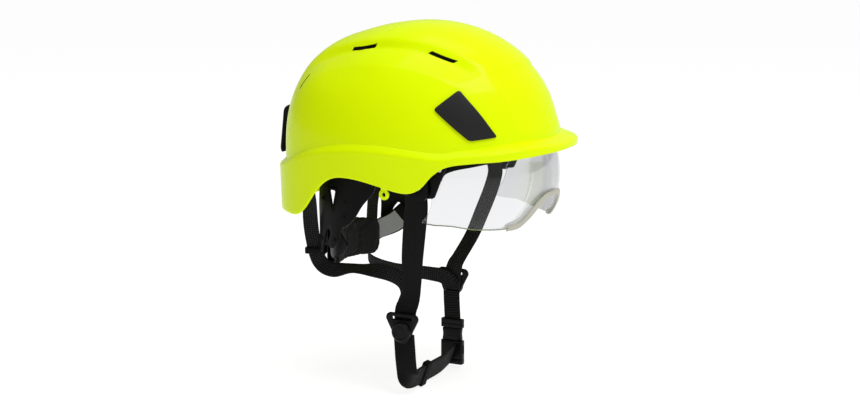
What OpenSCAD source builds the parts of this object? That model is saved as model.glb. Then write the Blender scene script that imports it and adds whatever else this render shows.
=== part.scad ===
// Rescue and industrial helmet: vented shell, retractable eye visor, headband with a nape
// adjuster and a four-point chin strap.
// +X is the front, +Y the wearer's left, +Z up. The origin lies on the middle plane, where the
// wearer's head is seated: z = 0 is just under the headband's front.

/* [Shell] */
// Half length of the dome ahead of its centre
dome_front = 141; // [138:1:146]
// Half length of the dome behind its centre
dome_rear = 134.5; // [131:0.5:137]
// Half width of the dome
dome_half_w = 106; // [104:1:109]
// Height of the crown above the origin
dome_h = 124.5; // [122:0.5:130]
// Wall thickness of the shell
wall = 2.6; // [2:0.2:3]
// Drop of the step beside the raised crown band
crest_step = 4.5; // [3:0.5:5]
// Width of a vent slot
vent_w = 3; // [2:0.5:4]

/* [Visor] */
// Radius of the lens about the pivot line
lens_r = 95; // [93:0.5:96]
// Half width of the lens at the pivots
lens_half_w = 88; // [86:0.5:88.5]
// Thickness of the lens
lens_t = 2; // [1.6:0.1:2.2]
// Radius of the pivot pins
pivot_r = 3; // [2.5:0.25:3.5]

/* [Headband] */
// Half width of the headband
band_half_w = 78; // [75:1:80]
// Height of the band at the forehead
band_h = 28; // [24:1:30]
// Radius of the size knob
knob_r = 14; // [12:0.5:15]

/* [Straps] */
// Width of the side webbing
web_w = 19; // [17:0.5:20]
// Thickness of the webbing
web_t = 1.5; // [1.2:0.1:1.6]
// Width of the chin strap
chin_w = 22; // [20:0.5:23]

/* [Eyelets] */
// Radius of an eyelet's hole
eyelet_r = 2.2; // [1.8:0.1:2.6]

/* [Hidden] */
$fn = 48;

RIGHT = -1;
LEFT = 1;
hi_vis = [0.86, 0.96, 0.05];
satin_black = [0.09, 0.09, 0.1];
webbing_black = [0.05, 0.05, 0.055];
hub_fn = 40;
slim = 0.01;

// ---- tables over the azimuth round from the front, degrees against mm ----
// Lower edge of the shell
RIM = [[0, 11.5], [12, 10.8], [22, 9.2], [34, 6.5], [45, 5], [55, 1.5], [61, -6.5], [66, -18],
    [71, -23.5], [77, -23.8], [88, -19], [97, -15.5], [105, -14], [112, -15.2], [118, -21],
    [124, -33], [130, -48], [135, -56], [141, -58.5], [180, -59]];
// Belt line, where the wall steps outwards
BELT = [[0, 21], [22, 21.3], [35, 18.6], [48, 15.5], [58, 12.5], [71, 14.5], [86, 17], [106, 16],
    [123, 10.5], [138, 1], [150, -9], [165, -13], [180, -14]];
// Outward step below the belt line, a brim at the front
FLARE = [[0, 17], [22, 15.5], [35, 11.5], [48, 8], [60, 5.5], [75, 4.5], [120, 5], [150, 6.2], [180, 6]];

function clamp(v, lo, hi) = max(lo, min(hi, v));
function ease(a, b, v) = let (t = clamp((v - a) / (b - a), 0, 1)) t * t * (3 - 2 * t);
function mix(a, b, t) = a + (b - a) * t;
function unit(v) = v / norm(v);
function slope(T, i) = i == 0 || i == len(T) - 1 ? 0
    : (T[i + 1][1] - T[i - 1][1]) / (T[i + 1][0] - T[i - 1][0]);
function span(T, v, i = 0) = i >= len(T) - 2 || v < T[i + 1][0] ? i : span(T, v, i + 1);
// Smooth value of a table at v, a cubic through its points
function smooth(T, v) = let (i = span(T, v), w = T[i + 1][0] - T[i][0],
    t = clamp((v - T[i][0]) / w, 0, 1), u = 1 - t)
    T[i][1] * u * u * (1 + 2 * t) + T[i + 1][1] * t * t * (3 - 2 * t)
    + w * t * u * (u * slope(T, i) - t * slope(T, i + 1));

// ---- dome ----
dome_x = -6;
plan_pow = 2.09;
rise_pow = 2.26;
function dome_half(c) = c > 0 ? dome_front : dome_rear;
function plan_radius(phi) = 1 / pow(pow(abs(cos(phi)) / dome_half(cos(phi)), plan_pow)
    + pow(abs(sin(phi)) / dome_half_w, plan_pow), 1 / plan_pow);
// Point of the plain dome; below psi = 0 the wall goes straight down
function dome_point(phi, psi) = let (
    r = plan_radius(phi) * (psi > 0 ? pow(cos(psi), 2 / rise_pow) : 1),
    z = dome_h * (psi > 0 ? pow(sin(psi), 2 / rise_pow) : psi * PI / 180))
    [dome_x + r * cos(phi), r * sin(phi), z];
function dome_normal(p) = let (a = dome_half(p[0] - dome_x))
    unit([(p[0] - dome_x) / (a * a), p[1] / (dome_half_w * dome_half_w),
        max(p[2], 0) / (dome_h * dome_h)]);

// Crown band: lines over x, by |y|: foot of the step, top of the step, outer end of the shelf
STEP_TOP = [[-125, 24], [-110, 28], [-93, 34], [-76, 41], [-60, 46.5], [-25, 53], [26, 54], [52, 53],
    [72, 51], [88, 48.5]];
STEP_FOOT = [[-125, 38], [-110, 43], [-86, 49], [-57, 55.5], [-23, 60.5], [3, 62.5], [30, 62.6], [60, 61],
    [79, 58.6], [88, 55]];
SHELF_END = [[-125, 60], [-94, 69], [-77, 71], [-43, 76.7], [-13, 80.5], [13, 80.2], [39, 79.2], [62, 75.7],
    [71, 73.4]];
STEP_DROP = [[-128, 0], [-105, 0.55], [-80, 1], [60, 1], [90, 0.6]];
// How far the crown sinks behind its highest place
CROWN_DIP = [[-125, 0], [-95, 2], [-62, 4.6], [-30, 3.2], [0, 0.8], [30, 0], [88, 0]];
front_crease_x = 101.3;
crease_bow = 0.0055;
panel_half = 47;
panel_drop = 1.1;
function front_of(p) = p[0] + crease_bow * p[1] * p[1] - front_crease_x;
function relief(p) = let (
    y = abs(p[1]), x = clamp(p[0], -128, 88), s = front_of(p),
    foot = smooth(STEP_FOOT, x), out = smooth(SHELF_END, x),
    valley = ease(smooth(STEP_TOP, x), foot, y) * clamp((out - y) / (out - foot), 0, 1),
    fade = (1 - ease(-9, 0, s)) * ease(8, 40, p[2]))
    -crest_step * smooth(STEP_DROP, x) * valley * fade
    - panel_drop * ease(0, 5, s) * (1 - ease(panel_half - 3, panel_half + 2, y)) * ease(22, 42, p[2])
    - smooth(CROWN_DIP, x) * ease(55, 95, p[2]);
function skin_point(phi, psi) = let (p = dome_point(phi, psi)) p + relief(p) * dome_normal(p);

// Place on the side of the dome at a given x and z
function side_point(x, z, side, lift = 0) = let (
    q = pow(1 - pow(max(z, 0) / dome_h, rise_pow), plan_pow / rise_pow),
    y = dome_half_w * pow(max(q - pow(abs(x - dome_x) / dome_half(x - dome_x), plan_pow), 0), 1 / plan_pow),
    p = [x, side * y, z])
    p + (relief(p) + lift) * dome_normal(p);

// ---- shell ----
shell_cols = 84;
dome_rows = 15;
flare_rows = 4;
skirt_rows = 4;
shell_rows = dome_rows + flare_rows + skirt_rows;
flare_h = 6.5;
rim_taper = 2;
function azimuth(phi) = let (p = dome_point(phi, 0)) abs(atan2(p[1], p[0]));
function belt_psi(z) = z > 0 ? asin(pow(z / dome_h, rise_pow / 2)) : z / dome_h * 180 / PI;
function shell_point(phi, row) = let (
    az = azimuth(phi), belt = smooth(BELT, az), rim = smooth(RIM, az), flare = smooth(FLARE, az),
    base = dome_point(phi, 0), out = unit([base[0] - dome_x, base[1], 0]),
    foot = skin_point(phi, belt_psi(belt)))
    row <= dome_rows ? skin_point(phi, mix(90, belt_psi(belt), pow(row / dome_rows, 0.9)))
    : row <= dome_rows + flare_rows
    ? let (t = (row - dome_rows) / flare_rows) foot - [0, 0, flare_h * t]
        + out * flare * ease(-0.25, 1, t) * (1 - ease(-0.25, 1, 0) * (1 - t))
    : let (t = (row - dome_rows - flare_rows) / skirt_rows, drop = max(belt - flare_h - rim, 1.5))
        foot + out * (flare - rim_taper * t * ease(140, 170, az)) - [0, 0, flare_h + drop * t];

function shell_grid() = [for (r = [0:shell_rows]) [for (c = [0:shell_cols - 1])
    shell_point(c * 360 / shell_cols, max(r, 0.02))]];
function grid_normal(G, r, c) = let (n = len(G[0]),
    du = G[r][(c + 1) % n] - G[r][(c + n - 1) % n],
    dv = G[min(r + 1, len(G) - 1)][c] - G[max(r - 1, 0)][c])
    unit(cross(dv, du));
module shell_body() {
    G = shell_grid();
    n = shell_cols;
    rows = shell_rows;
    outer = [for (r = [0:rows]) for (c = [0:n - 1]) G[r][c]];
    inner = [for (r = [0:rows]) for (c = [0:n - 1]) G[r][c] - wall * grid_normal(G, r, c)];
    base = (rows + 1) * n;
    function at(r, c) = r * n + c % n;
    faces = concat(
        [for (r = [0:rows - 1]) for (c = [0:n - 1]) each [
            [at(r, c), at(r + 1, c + 1), at(r + 1, c)], [at(r, c), at(r, c + 1), at(r + 1, c + 1)],
            [base + at(r, c), base + at(r + 1, c), base + at(r + 1, c + 1)],
            [base + at(r, c), base + at(r + 1, c + 1), base + at(r, c + 1)]]],
        [for (c = [0:n - 1]) each [
            [at(rows, c), base + at(rows, c + 1), base + at(rows, c)],
            [at(rows, c), at(rows, c + 1), base + at(rows, c + 1)]]],
        [[for (c = [n - 1:-1:0]) c], [for (c = [0:n - 1]) base + c]]);
    polyhedron(concat(outer, inner), faces);
}

// Ends of the three vent slots, on the right side
VENTS = [
    [[-105.6, -59.2, 57.1], [-95.8, -54.3, 72.8]],
    [[-52, -48.9, 98], [-24.1, -54.1, 103]],
    [[33.3, -57.8, 100], [59, -56.3, 91.9]]];
module slot_cut(a, b, d, depth) {
    n = dome_normal(mix(a, b, 0.5));
    hull() for (p = [a, b]) for (k = [-1, 1]) translate(p + k * depth * n) sphere(d = d, $fn = 12);
}
plate_lug = [84, 47];
module shell() {
    color(hi_vis) difference() {
        shell_body();
        for (side = [RIGHT, LEFT]) {
            for (v = VENTS) slot_cut(flip(v, -side)[0], flip(v, -side)[1], vent_w, 7);
            a = side_point(plate_lug[0] - 4, plate_lug[1] + 4, side);
            b = side_point(plate_lug[0] + 4, plate_lug[1] - 4, side);
            slot_cut(a, b, 4, 5);
        }
    }
}

// Corners of the black side plate, as x and z on the dome: rear top, front top, front foot, rear foot
PLATE = [[52.6, 51.7], [70.8, 68.8], [105.1, 26.4], [84.7, 23.5]];
plate_low = 0.4;
plate_high = 1.5;
plate_cells = 8;
function plate_xz(u, v) = mix(mix(PLATE[0], PLATE[1], u), mix(PLATE[3], PLATE[2], u), v);
function plate_skin(side, lift) = [for (j = [0:plate_cells]) for (i = [0:plate_cells])
    let (q = plate_xz(i / plate_cells, j / plate_cells)) side_point(q[0], q[1], side, lift)];
module side_plate(side) {
    n = plate_cells + 1;
    base = n * n;
    function turn(f) = side == LEFT ? f : [f[2], f[1], f[0]];
    faces = concat(
        [for (j = [0:n - 2]) for (i = [0:n - 2]) let (a = j * n + i) each [
            turn([a, a + n, a + n + 1]), turn([a, a + n + 1, a + 1]),
            turn([base + a, base + a + n + 1, base + a + n]),
            turn([base + a, base + a + 1, base + a + n + 1])]],
        [for (i = [0:n - 2]) let (lo = i, hi = (n - 1) * n + i, l = i * n, h = i * n + n - 1) each [
            turn([lo, lo + 1, base + lo + 1]), turn([lo, base + lo + 1, base + lo]),
            turn([hi, base + hi + 1, hi + 1]), turn([hi, base + hi, base + hi + 1]),
            turn([l, base + l + n, l + n]), turn([l, base + l, base + l + n]),
            turn([h, h + n, base + h + n]), turn([h, base + h + n, base + h])]]);
    color(satin_black) polyhedron(concat(plate_skin(side, plate_high), plate_skin(side, plate_low)), faces);
}

// Hook for a lamp or goggle strap on the rear centre
clip_w = 26;
CLIP = [[-139.2, 33], [-144.6, 35], [-150.6, 31], [-155.1, -10], [-153.6, -14], [-151.1, -13],
    [-148.1, 18], [-145.1, 22], [-139.4, 22]];
module rear_clip() {
    color(satin_black) difference() {
        translate([0, clip_w / 2, 0]) rotate([90, 0, 0]) linear_extrude(clip_w) polygon(CLIP);
        for (s = [-1, 1]) translate([-155.6, s * (clip_w / 2 + 1.5), 0]) rotate([0, 0, s * 45])
            cube([6, 6, 99], center = true);
    }
}

// Small ring on a stem, for a retaining cord
EYELET = [10, 106.4, -27.6];
eyelet_out = 5;
eyelet_t = 2.4;
module eyelet(side) {
    color(hi_vis) translate([EYELET[0], side * EYELET[1], EYELET[2]]) difference() {
        union() {
            rotate([90, 0, 0]) cylinder(r = eyelet_out, h = eyelet_t, center = true, $fn = hub_fn);
            translate([-3, -eyelet_t / 2, 0]) cube([6, eyelet_t, 15]);
        }
        rotate([90, 0, 0]) cylinder(r = eyelet_r, h = eyelet_t + 1, center = true, $fn = hub_fn);
    }
}

// ---- visor ----
PIVOT = [40, 0, -20];
running_gap = 0.08;
arm_in = 91;
arm_t = 2.4;
bracket_in = 94.6;
bracket_t = 2.5;
// Angle of the lens's lower edge about the pivots, by distance from the pivot line
LENS_LOW = [[10, -40], [13, -48], [21.7, -71], [30, -86], [36.5, -96], [38.5, -84], [41, -69],
    [47.4, -55], [64, -41], [73, -35.6], [79.5, -32.2], [85.5, -28.2], [88.6, -21.8], [91, -15.4],
    [93, -10.6], [95, -8.6]];
FRAME_LOW = [[18, 12], [22, 24], [26, 29], [48, 23], [71, 19.3], [86, 17.7], [95, 17.3]];
LENS_TOP = [[10, 45], [26, 46], [48, 33.5], [71, 27.5], [86, 25], [95, 24]];
// Place on the visor's surface, y across and an angle about the pivot line
function visor_rho(y, lift) = (lens_r + lift) * sqrt(max(1 - pow(y / (lens_half_w + lift), 2), 0));
function visor_point(y, a, lift) = let (k = (lens_half_w + lift) / lens_half_w)
    PIVOT + [visor_rho(y * k, lift) * cos(a), y * k, visor_rho(y * k, lift) * sin(a)];
// Even spacing along the curve from pivot to pivot
function across(t, top) = lens_half_w * sin(top * t);
module visor_sheet(cols, rows, end, low, high, lift_out, lift_in) {
    ys = [for (c = [0:cols]) across(mix(-1, 1, c / cols), end)];
    function edge(c, r) = let (rho = visor_rho(ys[c], 0))
        mix(smooth(low, rho), smooth(high, rho), r / rows);
    out = [for (r = [0:rows]) for (c = [0:cols]) visor_point(ys[c], edge(c, r), lift_out)];
    in = [for (r = [0:rows]) for (c = [0:cols]) visor_point(ys[c], edge(c, r), lift_in)];
    n = cols + 1;
    base = (rows + 1) * n;
    faces = concat(
        [for (r = [0:rows - 1]) for (c = [0:cols - 1]) let (a = r * n + c) each [
            [a, a + n, a + n + 1], [a, a + n + 1, a + 1],
            [base + a, base + a + n + 1, base + a + n], [base + a, base + a + 1, base + a + n + 1]]],
        [for (c = [0:cols - 1]) let (hi = rows * n + c) each [
            [c, c + 1, base + c + 1], [c, base + c + 1, base + c],
            [hi, base + hi + 1, hi + 1], [hi, base + hi, base + hi + 1]]],
        [for (r = [0:rows - 1]) let (l = r * n, h = r * n + cols) each [
            [l, base + l + n, l + n], [l, base + l, base + l + n],
            [h, h + n, base + h + n], [h, base + h + n, base + h]]]);
    polyhedron(concat(out, in), faces);
}
lens_end = 83;
module visor_lens() {
    color([0.85, 0.9, 0.92, 0.3])
        visor_sheet(56, 10, lens_end, LENS_LOW, LENS_TOP, 0, -lens_t);
}
frame_gap = 0.25;
frame_t = 2;
module visor_frame() {
    color(satin_black) visor_sheet(44, 3, 78, FRAME_LOW, LENS_TOP, frame_gap + frame_t, frame_gap);
}
// Soft edging along the nose notch, a strip just outside the lens
trim_in = 0.2;
trim_t = 1.6;
TRIM_LOW = [[77, -34.5], [79.5, -33], [85.5, -29.1], [88.6, -22.7], [91, -16.3], [93, -11.5], [95, -9.5]];
TRIM_TOP = [[77, -30.5], [82, -27.8], [85.7, -23.4], [88.3, -16.5], [91.3, -10.6], [93.3, -7.6], [95, -6.8]];
module nose_trim() {
    color([0.66, 0.64, 0.6]) visor_sheet(36, 2, 33, TRIM_LOW, TRIM_TOP, trim_in + trim_t, trim_in);
}
// Flat arm on each side, from the pivot to the frame
ARM = [[46, -31], [54.5, -30], [61.5, -12.5], [64, -6], [68.6, 1], [64.6, 6], [50, 0], [36, -8]];
module visor_arm(side) {
    color(satin_black) translate([0, side * (arm_in + arm_t / 2), 0]) difference() {
        union() {
            rotate([90, 0, 0]) linear_extrude(arm_t, center = true) polygon(ARM);
            translate(PIVOT) rotate([90, 0, 0]) cylinder(r = 12, h = arm_t, center = true, $fn = hub_fn);
        }
        translate(PIVOT) rotate([90, 0, 0])
            cylinder(r = pivot_r + running_gap, h = arm_t + 1, center = true, $fn = hub_fn);
    }
}
// Rivets through arm, frame and lens, two a side
RIVETS = [[60, -3], [65, 2]];
rivet_head = 0.45;
rivet_len = 10.4;
module lens_rivets() {
    color([0.5, 0.5, 0.52]) for (side = [RIGHT, LEFT]) for (r = RIVETS)
        translate([r[0], side * (arm_in + arm_t + rivet_head), r[1]]) rotate([side * 90, 0, 0]) {
            cylinder(r = 1.2, h = rivet_len, $fn = 16);
            cylinder(r = 2.2, h = rivet_head, $fn = 20);
        }
}
// Plate inside the shell that holds the pivot, on two short posts
module pivot_bracket(side) {
    color(satin_black) translate([0, side * (bracket_in + bracket_t / 2), 0]) difference() {
        union() {
            rotate([90, 0, 0]) linear_extrude(bracket_t, center = true)
                polygon([[28, -27], [32, -33], [46, -33], [50, -27], [49, -4], [45, 7], [30, 7], [26, -4]]);
            for (z = [-24, 0]) translate([32, side * 3.6, z]) rotate([90, 0, 0])
                cylinder(r = 3.5, h = 5, center = true);
        }
        translate(PIVOT) rotate([90, 0, 0])
            cylinder(r = pivot_r, h = bracket_t + 1, center = true, $fn = hub_fn);
    }
}
pin_head_r = 5;
module pivot_pin(side) {
    color([0.55, 0.55, 0.58]) translate(PIVOT) rotate([side * 90, 0, 0]) {
        translate([0, 0, -(bracket_in + bracket_t)]) cylinder(r = pivot_r, h = 6.4, $fn = hub_fn);
        translate([0, 0, -arm_in + 0.1]) cylinder(r = pin_head_r, h = 1.6, $fn = hub_fn);
    }
}

// ---- ribbons: straps and bands swept along a smooth path ----
function spline(P, i, t) = let (
    a = P[max(i - 1, 0)], b = P[i], c = P[i + 1], d = P[min(i + 2, len(P) - 1)])
    0.5 * (2 * b + (c - a) * t + (2 * a - 5 * b + 4 * c - d) * t * t
        + (3 * b - a - 3 * c + d) * t * t * t);
function route(P, steps) = [for (i = [0:len(P) - 2]) for (k = [0:steps - 1]) spline(P, i, k / steps),
    P[len(P) - 1]];
// P holds the route, U the direction of the width at each of its points, W the widths
module ribbon(P, U, W, t, steps = 4) {
    path = route(P, steps);
    wide = route(U, steps);
    width = route([for (w = W) [w, 0, 0]], steps);
    n = len(path);
    ring = [for (i = [0:n - 1]) let (
        along = unit(path[min(i + 1, n - 1)] - path[max(i - 1, 0)]),
        u = unit(wide[i] - along * (wide[i] * along)), v = cross(along, u),
        hw = width[i][0] / 2, ht = t / 2)
        each [path[i] + u * hw + v * ht, path[i] - u * hw + v * ht, path[i] - u * hw - v * ht,
            path[i] + u * hw - v * ht]];
    sides = [for (i = [0:n - 2]) for (k = [0:3]) let (a = i * 4 + k, b = i * 4 + (k + 1) % 4) each [
        [a, b + 4, b], [a, a + 4, b + 4]]];
    polyhedron(ring, concat(sides, [[0, 1, 2, 3], [for (k = [3:-1:0]) (n - 1) * 4 + k]]));
}
function same(v, n) = [for (i = [1:n]) v];
function flip(P, side) = [for (p = P) [p[0], side * p[1], p[2]]];

// ---- headband ----
band_front = 98;
band_t = 1.8;
BAND_Z = [[-20, -16], [0, -10], [30, 0], [60, 9], [98, 16]];
function band_xy(a, inset) = [(band_front - inset) * cos(a), (band_half_w - inset) * sin(a)];
function band_route(to, n, inset, rise = 0) = [for (i = [0:n]) let (
    a = mix(-to, to, i / n), q = band_xy(a, inset)) [q[0], q[1], smooth(BAND_Z, q[0]) + rise]];
band_end = 100;
module headband() {
    steps = 24;
    color(satin_black) ribbon(band_route(band_end, steps, 0), same([0, 0, 1], steps + 1),
        [for (i = [0:steps]) mix(20, band_h, ease(0, 0.5, 1 - abs(2 * i / steps - 1)))], band_t, 2);
}
pad_end = 58;
pad_t = 3.6;
pad_gap = 0.4;
module sweatband() {
    steps = 16;
    inset = band_t / 2 + pad_gap + pad_t / 2;
    color([0.12, 0.12, 0.13]) ribbon(band_route(pad_end, steps, inset), same([0, 0, 1], steps + 1),
        same(band_h + 4, steps + 1), pad_t, 2);
}
// Yoke: a curved plate on each side at the rear, with two legs down to the nape
YOKE_AXIS = [-28, 0];
yoke_r = 82;
yoke_t = 2;
YOKE = [[-10, -20], [-13, -32], [-25, -45], [-33, -58], [-41, -66], [-50, -70], [-53, -82],
    [-62, -92], [-68, -88], [-63, -76], [-66, -71], [-71, -78], [-76, -98], [-82, -97], [-81, -74],
    [-82, -50], [-80, -20]];
YOKE_SLOT = [[-60, -52], [-56, -34], [-64, -34]];
// Ring at the foot of each yoke that guides the rear strap
GUIDE = [-89.6, 58.2, -99];
guide_turn = 17.5;
module yoke_guide(side) {
    translate([GUIDE[0], side * GUIDE[1], GUIDE[2]]) rotate([0, 0, -side * guide_turn]) difference() {
        cube([21, 8.6, 6], center = true);
        cube([17.4, 5.4, 7], center = true);
    }
    translate([-79.4, side * 61.2, -96]) cube([5, 7.6, 8], center = true);
}
module yoke(side) {
    color(satin_black) yoke_guide(side);
    color(satin_black) intersection() {
        translate([YOKE_AXIS[0], YOKE_AXIS[1], -110]) difference() {
            cylinder(r = yoke_r + yoke_t, h = 110, $fn = 96);
            translate([0, 0, -1]) cylinder(r = yoke_r, h = 112, $fn = 96);
        }
        translate([0, side > 0 ? 100 : 0, 0]) rotate([90, 0, 0]) linear_extrude(100) difference() {
            polygon(YOKE);
            polygon(YOKE_SLOT);
        }
    }
}
// Clips that hang each yoke from the shell
YOKE_CLIPS = [[-22, -27], [-66, -27]];
module yoke_clips() {
    color(satin_black) for (side = [RIGHT, LEFT]) for (c = YOKE_CLIPS) {
        reach = sqrt(pow(yoke_r + yoke_t, 2) - pow(abs(c[0] - YOKE_AXIS[0]) - 6, 2)) + 0.3;
        top = dome_half_w * sqrt(1 - pow((abs(c[0]) + 6) / dome_rear, 2)) - 2;
        translate([c[0] - 5, side > 0 ? reach : -top, -16]) cube([10, top - reach, 12]);
    }
}
// Cradle: two crossing webbing straps over the head
CRADLE = [[41, -67.5, 22], [37, -54, 48], [20, -29, 76], [0, 0, 86], [-26, 26, 76], [-52, 49, 42],
    [-66, 61, -4]];
CRADLE_U = [[0.6, 0.5, -0.5], [0.6, 0.75, 0], [0.5, 0.8, 0], [0.5, 0.8, 0], [0.6, 0.7, 0],
    [0.7, 0.7, 0], [0.7, 0.7, 0]];
cradle_w = 18;
module cradle_strap_upper() {
    color(webbing_black) ribbon(CRADLE, CRADLE_U, same(cradle_w, 7), web_t);
}
module cradle_strap_lower() {
    dip = 2.6;
    sunk = [for (i = [0:6]) [CRADLE[i][0], -CRADLE[i][1], CRADLE[i][2] - (i > 1 && i < 5 ? dip : 0)]];
    color(webbing_black) ribbon(sunk, flip(CRADLE_U, -1), same(cradle_w, 7), web_t);
}
module cradle_anchors() {
    color(satin_black) for (side = [RIGHT, LEFT]) {
        translate([48, side * 71.8, 17]) rotate([0, 0, side * -24]) cube([14, 2.4, 14], center = true);
        translate([-70, side * 65.5, -8]) rotate([0, 0, side * 38]) cube([16, 2.4, 16], center = true);
    }
}
// Arms: a thin strap of plastic from each yoke into the nape housing, ending in a rack
ARM_ROUTE = [[-54, -69, -80], [-64, -60.5, -90], [-76.6, -48.4, -97], [-86.8, -33.6, -101], [-92.5, -19, -101],
    [-95.4, 2, -101]];
ARM_U = [[-0.72, 0.27, 0.64], [-0.53, 0.31, 0.77], [-0.24, 0.25, 0.93], [0, 0, 1], [0, 0, 1], [0, 0, 1]];
arm_w = 22;
rack_w = 7;
rack_lift = 12.5;
function arm_route(side) = flip([for (i = [0:5])
    ARM_ROUTE[i] + [0, 0, -side * rack_lift * ease(2, 4, i)]], -side);
module band_arm(side) {
    color(satin_black) ribbon(arm_route(side), flip(ARM_U, -side),
        [arm_w, arm_w, arm_w - 2, 13, rack_w, rack_w], 1.4);
}
label_lift = 1.5;
module size_label() {
    path = route(arm_route(LEFT), 4);
    wide = route(flip(ARM_U, -1), 4);
    function side_of(i) = unit(cross(path[i + 1] - path[i - 1], wide[i]));
    inner = [for (i = [1:8]) path[i] - label_lift * side_of(i)];
    color([0.5, 0.51, 0.52]) ribbon(inner, [for (i = [1:8]) wide[i]], same(arm_w - 3, 8), 0.5, 1);
}
// Nape adjuster: two curved covers round the racks
nape_z = -101;
nape_in = 64.4;
nape_out = 71;
nape_wall = 1.6;
nape_h = 38;
nape_half = 34;
module nape_ring(r_in, r_out, h, half) {
    translate([YOKE_AXIS[0], 0, nape_z]) rotate([0, 0, 180 - half]) rotate_extrude(angle = 2 * half, $fn = 120)
        translate([r_in, -h / 2]) square([r_out - r_in, h]);
}
// The front plate, nearest to the head
module nape_housing() {
    color(satin_black) nape_ring(nape_in, nape_in + nape_wall, nape_h, nape_half);
}
module nape_cover() {
    color(satin_black) difference() {
        nape_ring(nape_in + nape_wall + 0.1, nape_out, nape_h, nape_half - 4);
        nape_ring(nape_in, nape_out - nape_wall, nape_h - 2 * nape_wall, nape_half);
        translate([-110, 0, nape_z]) rotate([0, 90, 0]) cylinder(r = 3 + running_gap, h = 30, $fn = hub_fn);
    }
}
module nape_pad() {
    color([0.11, 0.11, 0.12]) nape_ring(nape_in - 5, nape_in - 0.5, nape_h - 2, 40);
}
pinion_r = 7.5;
module ratchet_pinion() {
    color([0.8, 0.8, 0.78]) translate([-96.8, 0, nape_z]) rotate([0, 90, 0]) {
        cylinder(r = 3, h = 2.4, $fn = hub_fn);
        linear_extrude(2.4) for (a = [0:30:330]) rotate(a)
            polygon([[2, -1.6], [pinion_r, -0.7], [pinion_r, 0.7], [2, 1.6]]);
        translate([0, 0, -5.8]) cylinder(r = 3, h = 6, $fn = hub_fn);
    }
}
knob_h = 6;
module size_knob() {
    color(satin_black) translate([-99.4 - knob_h, 0, nape_z]) rotate([0, 90, 0]) difference() {
        cylinder(r = knob_r, h = knob_h, $fn = 72);
        for (a = [0:22.5:359]) rotate(a) translate([knob_r + 1.2, 0, -1])
            cylinder(r = 2.2, h = knob_h + 2, $fn = 20);
        translate([0, 0, knob_h - 3.6]) cylinder(r = 3, h = 5, $fn = hub_fn);
        translate([0, 0, -1]) cylinder(r = 3.6, h = 2.6, $fn = hub_fn);
        cylinder(r = 1.25, h = knob_h, $fn = 24);
    }
}
module knob_screw() {
    color([0.6, 0.6, 0.62]) translate([-99.4 - knob_h, 0, nape_z]) rotate([0, 90, 0]) difference() {
        union() {
            cylinder(r = 3.2, h = 1.6, $fn = 32);
            cylinder(r = 1.2, h = 5, $fn = 24);
        }
        for (a = [0, 90]) rotate(a) cube([3.6, 0.8, 1.6], center = true);
    }
}

// ---- strap anchors on the inside of the shell ----
module front_anchor(side) {
    color(satin_black) translate([25, side * 88, -6]) {
        cube([22, 3, 16], center = true);
        translate([-6, side * 5, 3]) cube([12, 8, 6], center = true);
    }
}
module rear_anchor(side) {
    color(satin_black) translate([-84, side * 81.6, -28]) rotate([0, 0, side * 36]) {
        cube([22, 2.6, 16], center = true);
    }
}

// ---- webbing ----
FRONT_RIGHT = [[25, -84.8, -6], [29, -84, -20], [31, -81.7, -38], [26, -76, -65],
    [20.5, -69.5, -95], [17, -63, -118], [13, -58.6, -136], [9, -58, -148], [6, -58, -160], [5.5, -58, -172]];
FRONT_LEFT = [[25, 83.9, -6], [34, 82.4, -18], [39, 80.8, -32], [36, 77.4, -50], [28, 73, -74],
    [20, 67.5, -97], [9.5, 61, -119], [4.8, 58.2, -130], [2.5, 57.8, -141], [1.5, 57.8, -153]];
module front_strap_right() {
    color(webbing_black) ribbon(FRONT_RIGHT, concat(same([1, -0.1, 0.15], 5), same([1, 0, 0.15], 5)),
        same(web_w, len(FRONT_RIGHT)), web_t);
}
module front_strap_left() {
    color(webbing_black) ribbon(FRONT_LEFT, concat(same([1, 0.1, 0.1], 5), same([1, 0, 0.1], 5)),
        same(web_w - 3.5, len(FRONT_LEFT)), web_t);
}
REAR_RIGHT = [[-83.4, -76.4, -34], [-90.6, -67, -62], [-90.6, -61, -90], [-87, -54.5, -113],
    [-73, -54, -120], [-45, -57, -113], [-12, -61, -112.5],
    [4, -58.4, -120], [9.5, -55.4, -132], [9, -55.2, -144], [6.5, -55.2, -156]];
REAR_RIGHT_U = [[0.8, -0.6, 0], [0.95, 0.2, 0], [0.95, 0.3, 0], [0.7, 0, -0.7], [0, -0.4, -0.9],
    [0, -0.9, -0.4], [-0.1, -0.3, -0.95], [-0.7, 0, -0.7], [-1, 0, -0.25], [-1, 0, -0.15], [-1, 0, -0.15]];
REAR_LEFT = [[-83.4, 76.4, -34], [-90.6, 67, -62], [-90.6, 61, -90], [-88, 54, -113],
    [-84, 45, -128], [-56, 44, -135], [-20, 51, -138], [-4, 54.6, -141], [1, 54.8, -150]];
REAR_LEFT_U = [[0.8, 0.6, 0], [0.95, -0.2, 0], [0.95, -0.3, 0], [0.7, 0, -0.7], [0, 0.4, -0.9],
    [-0.1, 0.4, -0.9], [-0.2, 0.1, -1], [-0.6, 0, -0.8], [-0.9, 0, -0.3]];
module rear_strap_right() {
    color(webbing_black) ribbon(REAR_RIGHT, REAR_RIGHT_U, same(web_w - 4, len(REAR_RIGHT)), web_t);
}
module rear_strap_left() {
    color(webbing_black) ribbon(REAR_LEFT, REAR_LEFT_U, same(web_w - 4, len(REAR_LEFT)), web_t);
}
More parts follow.
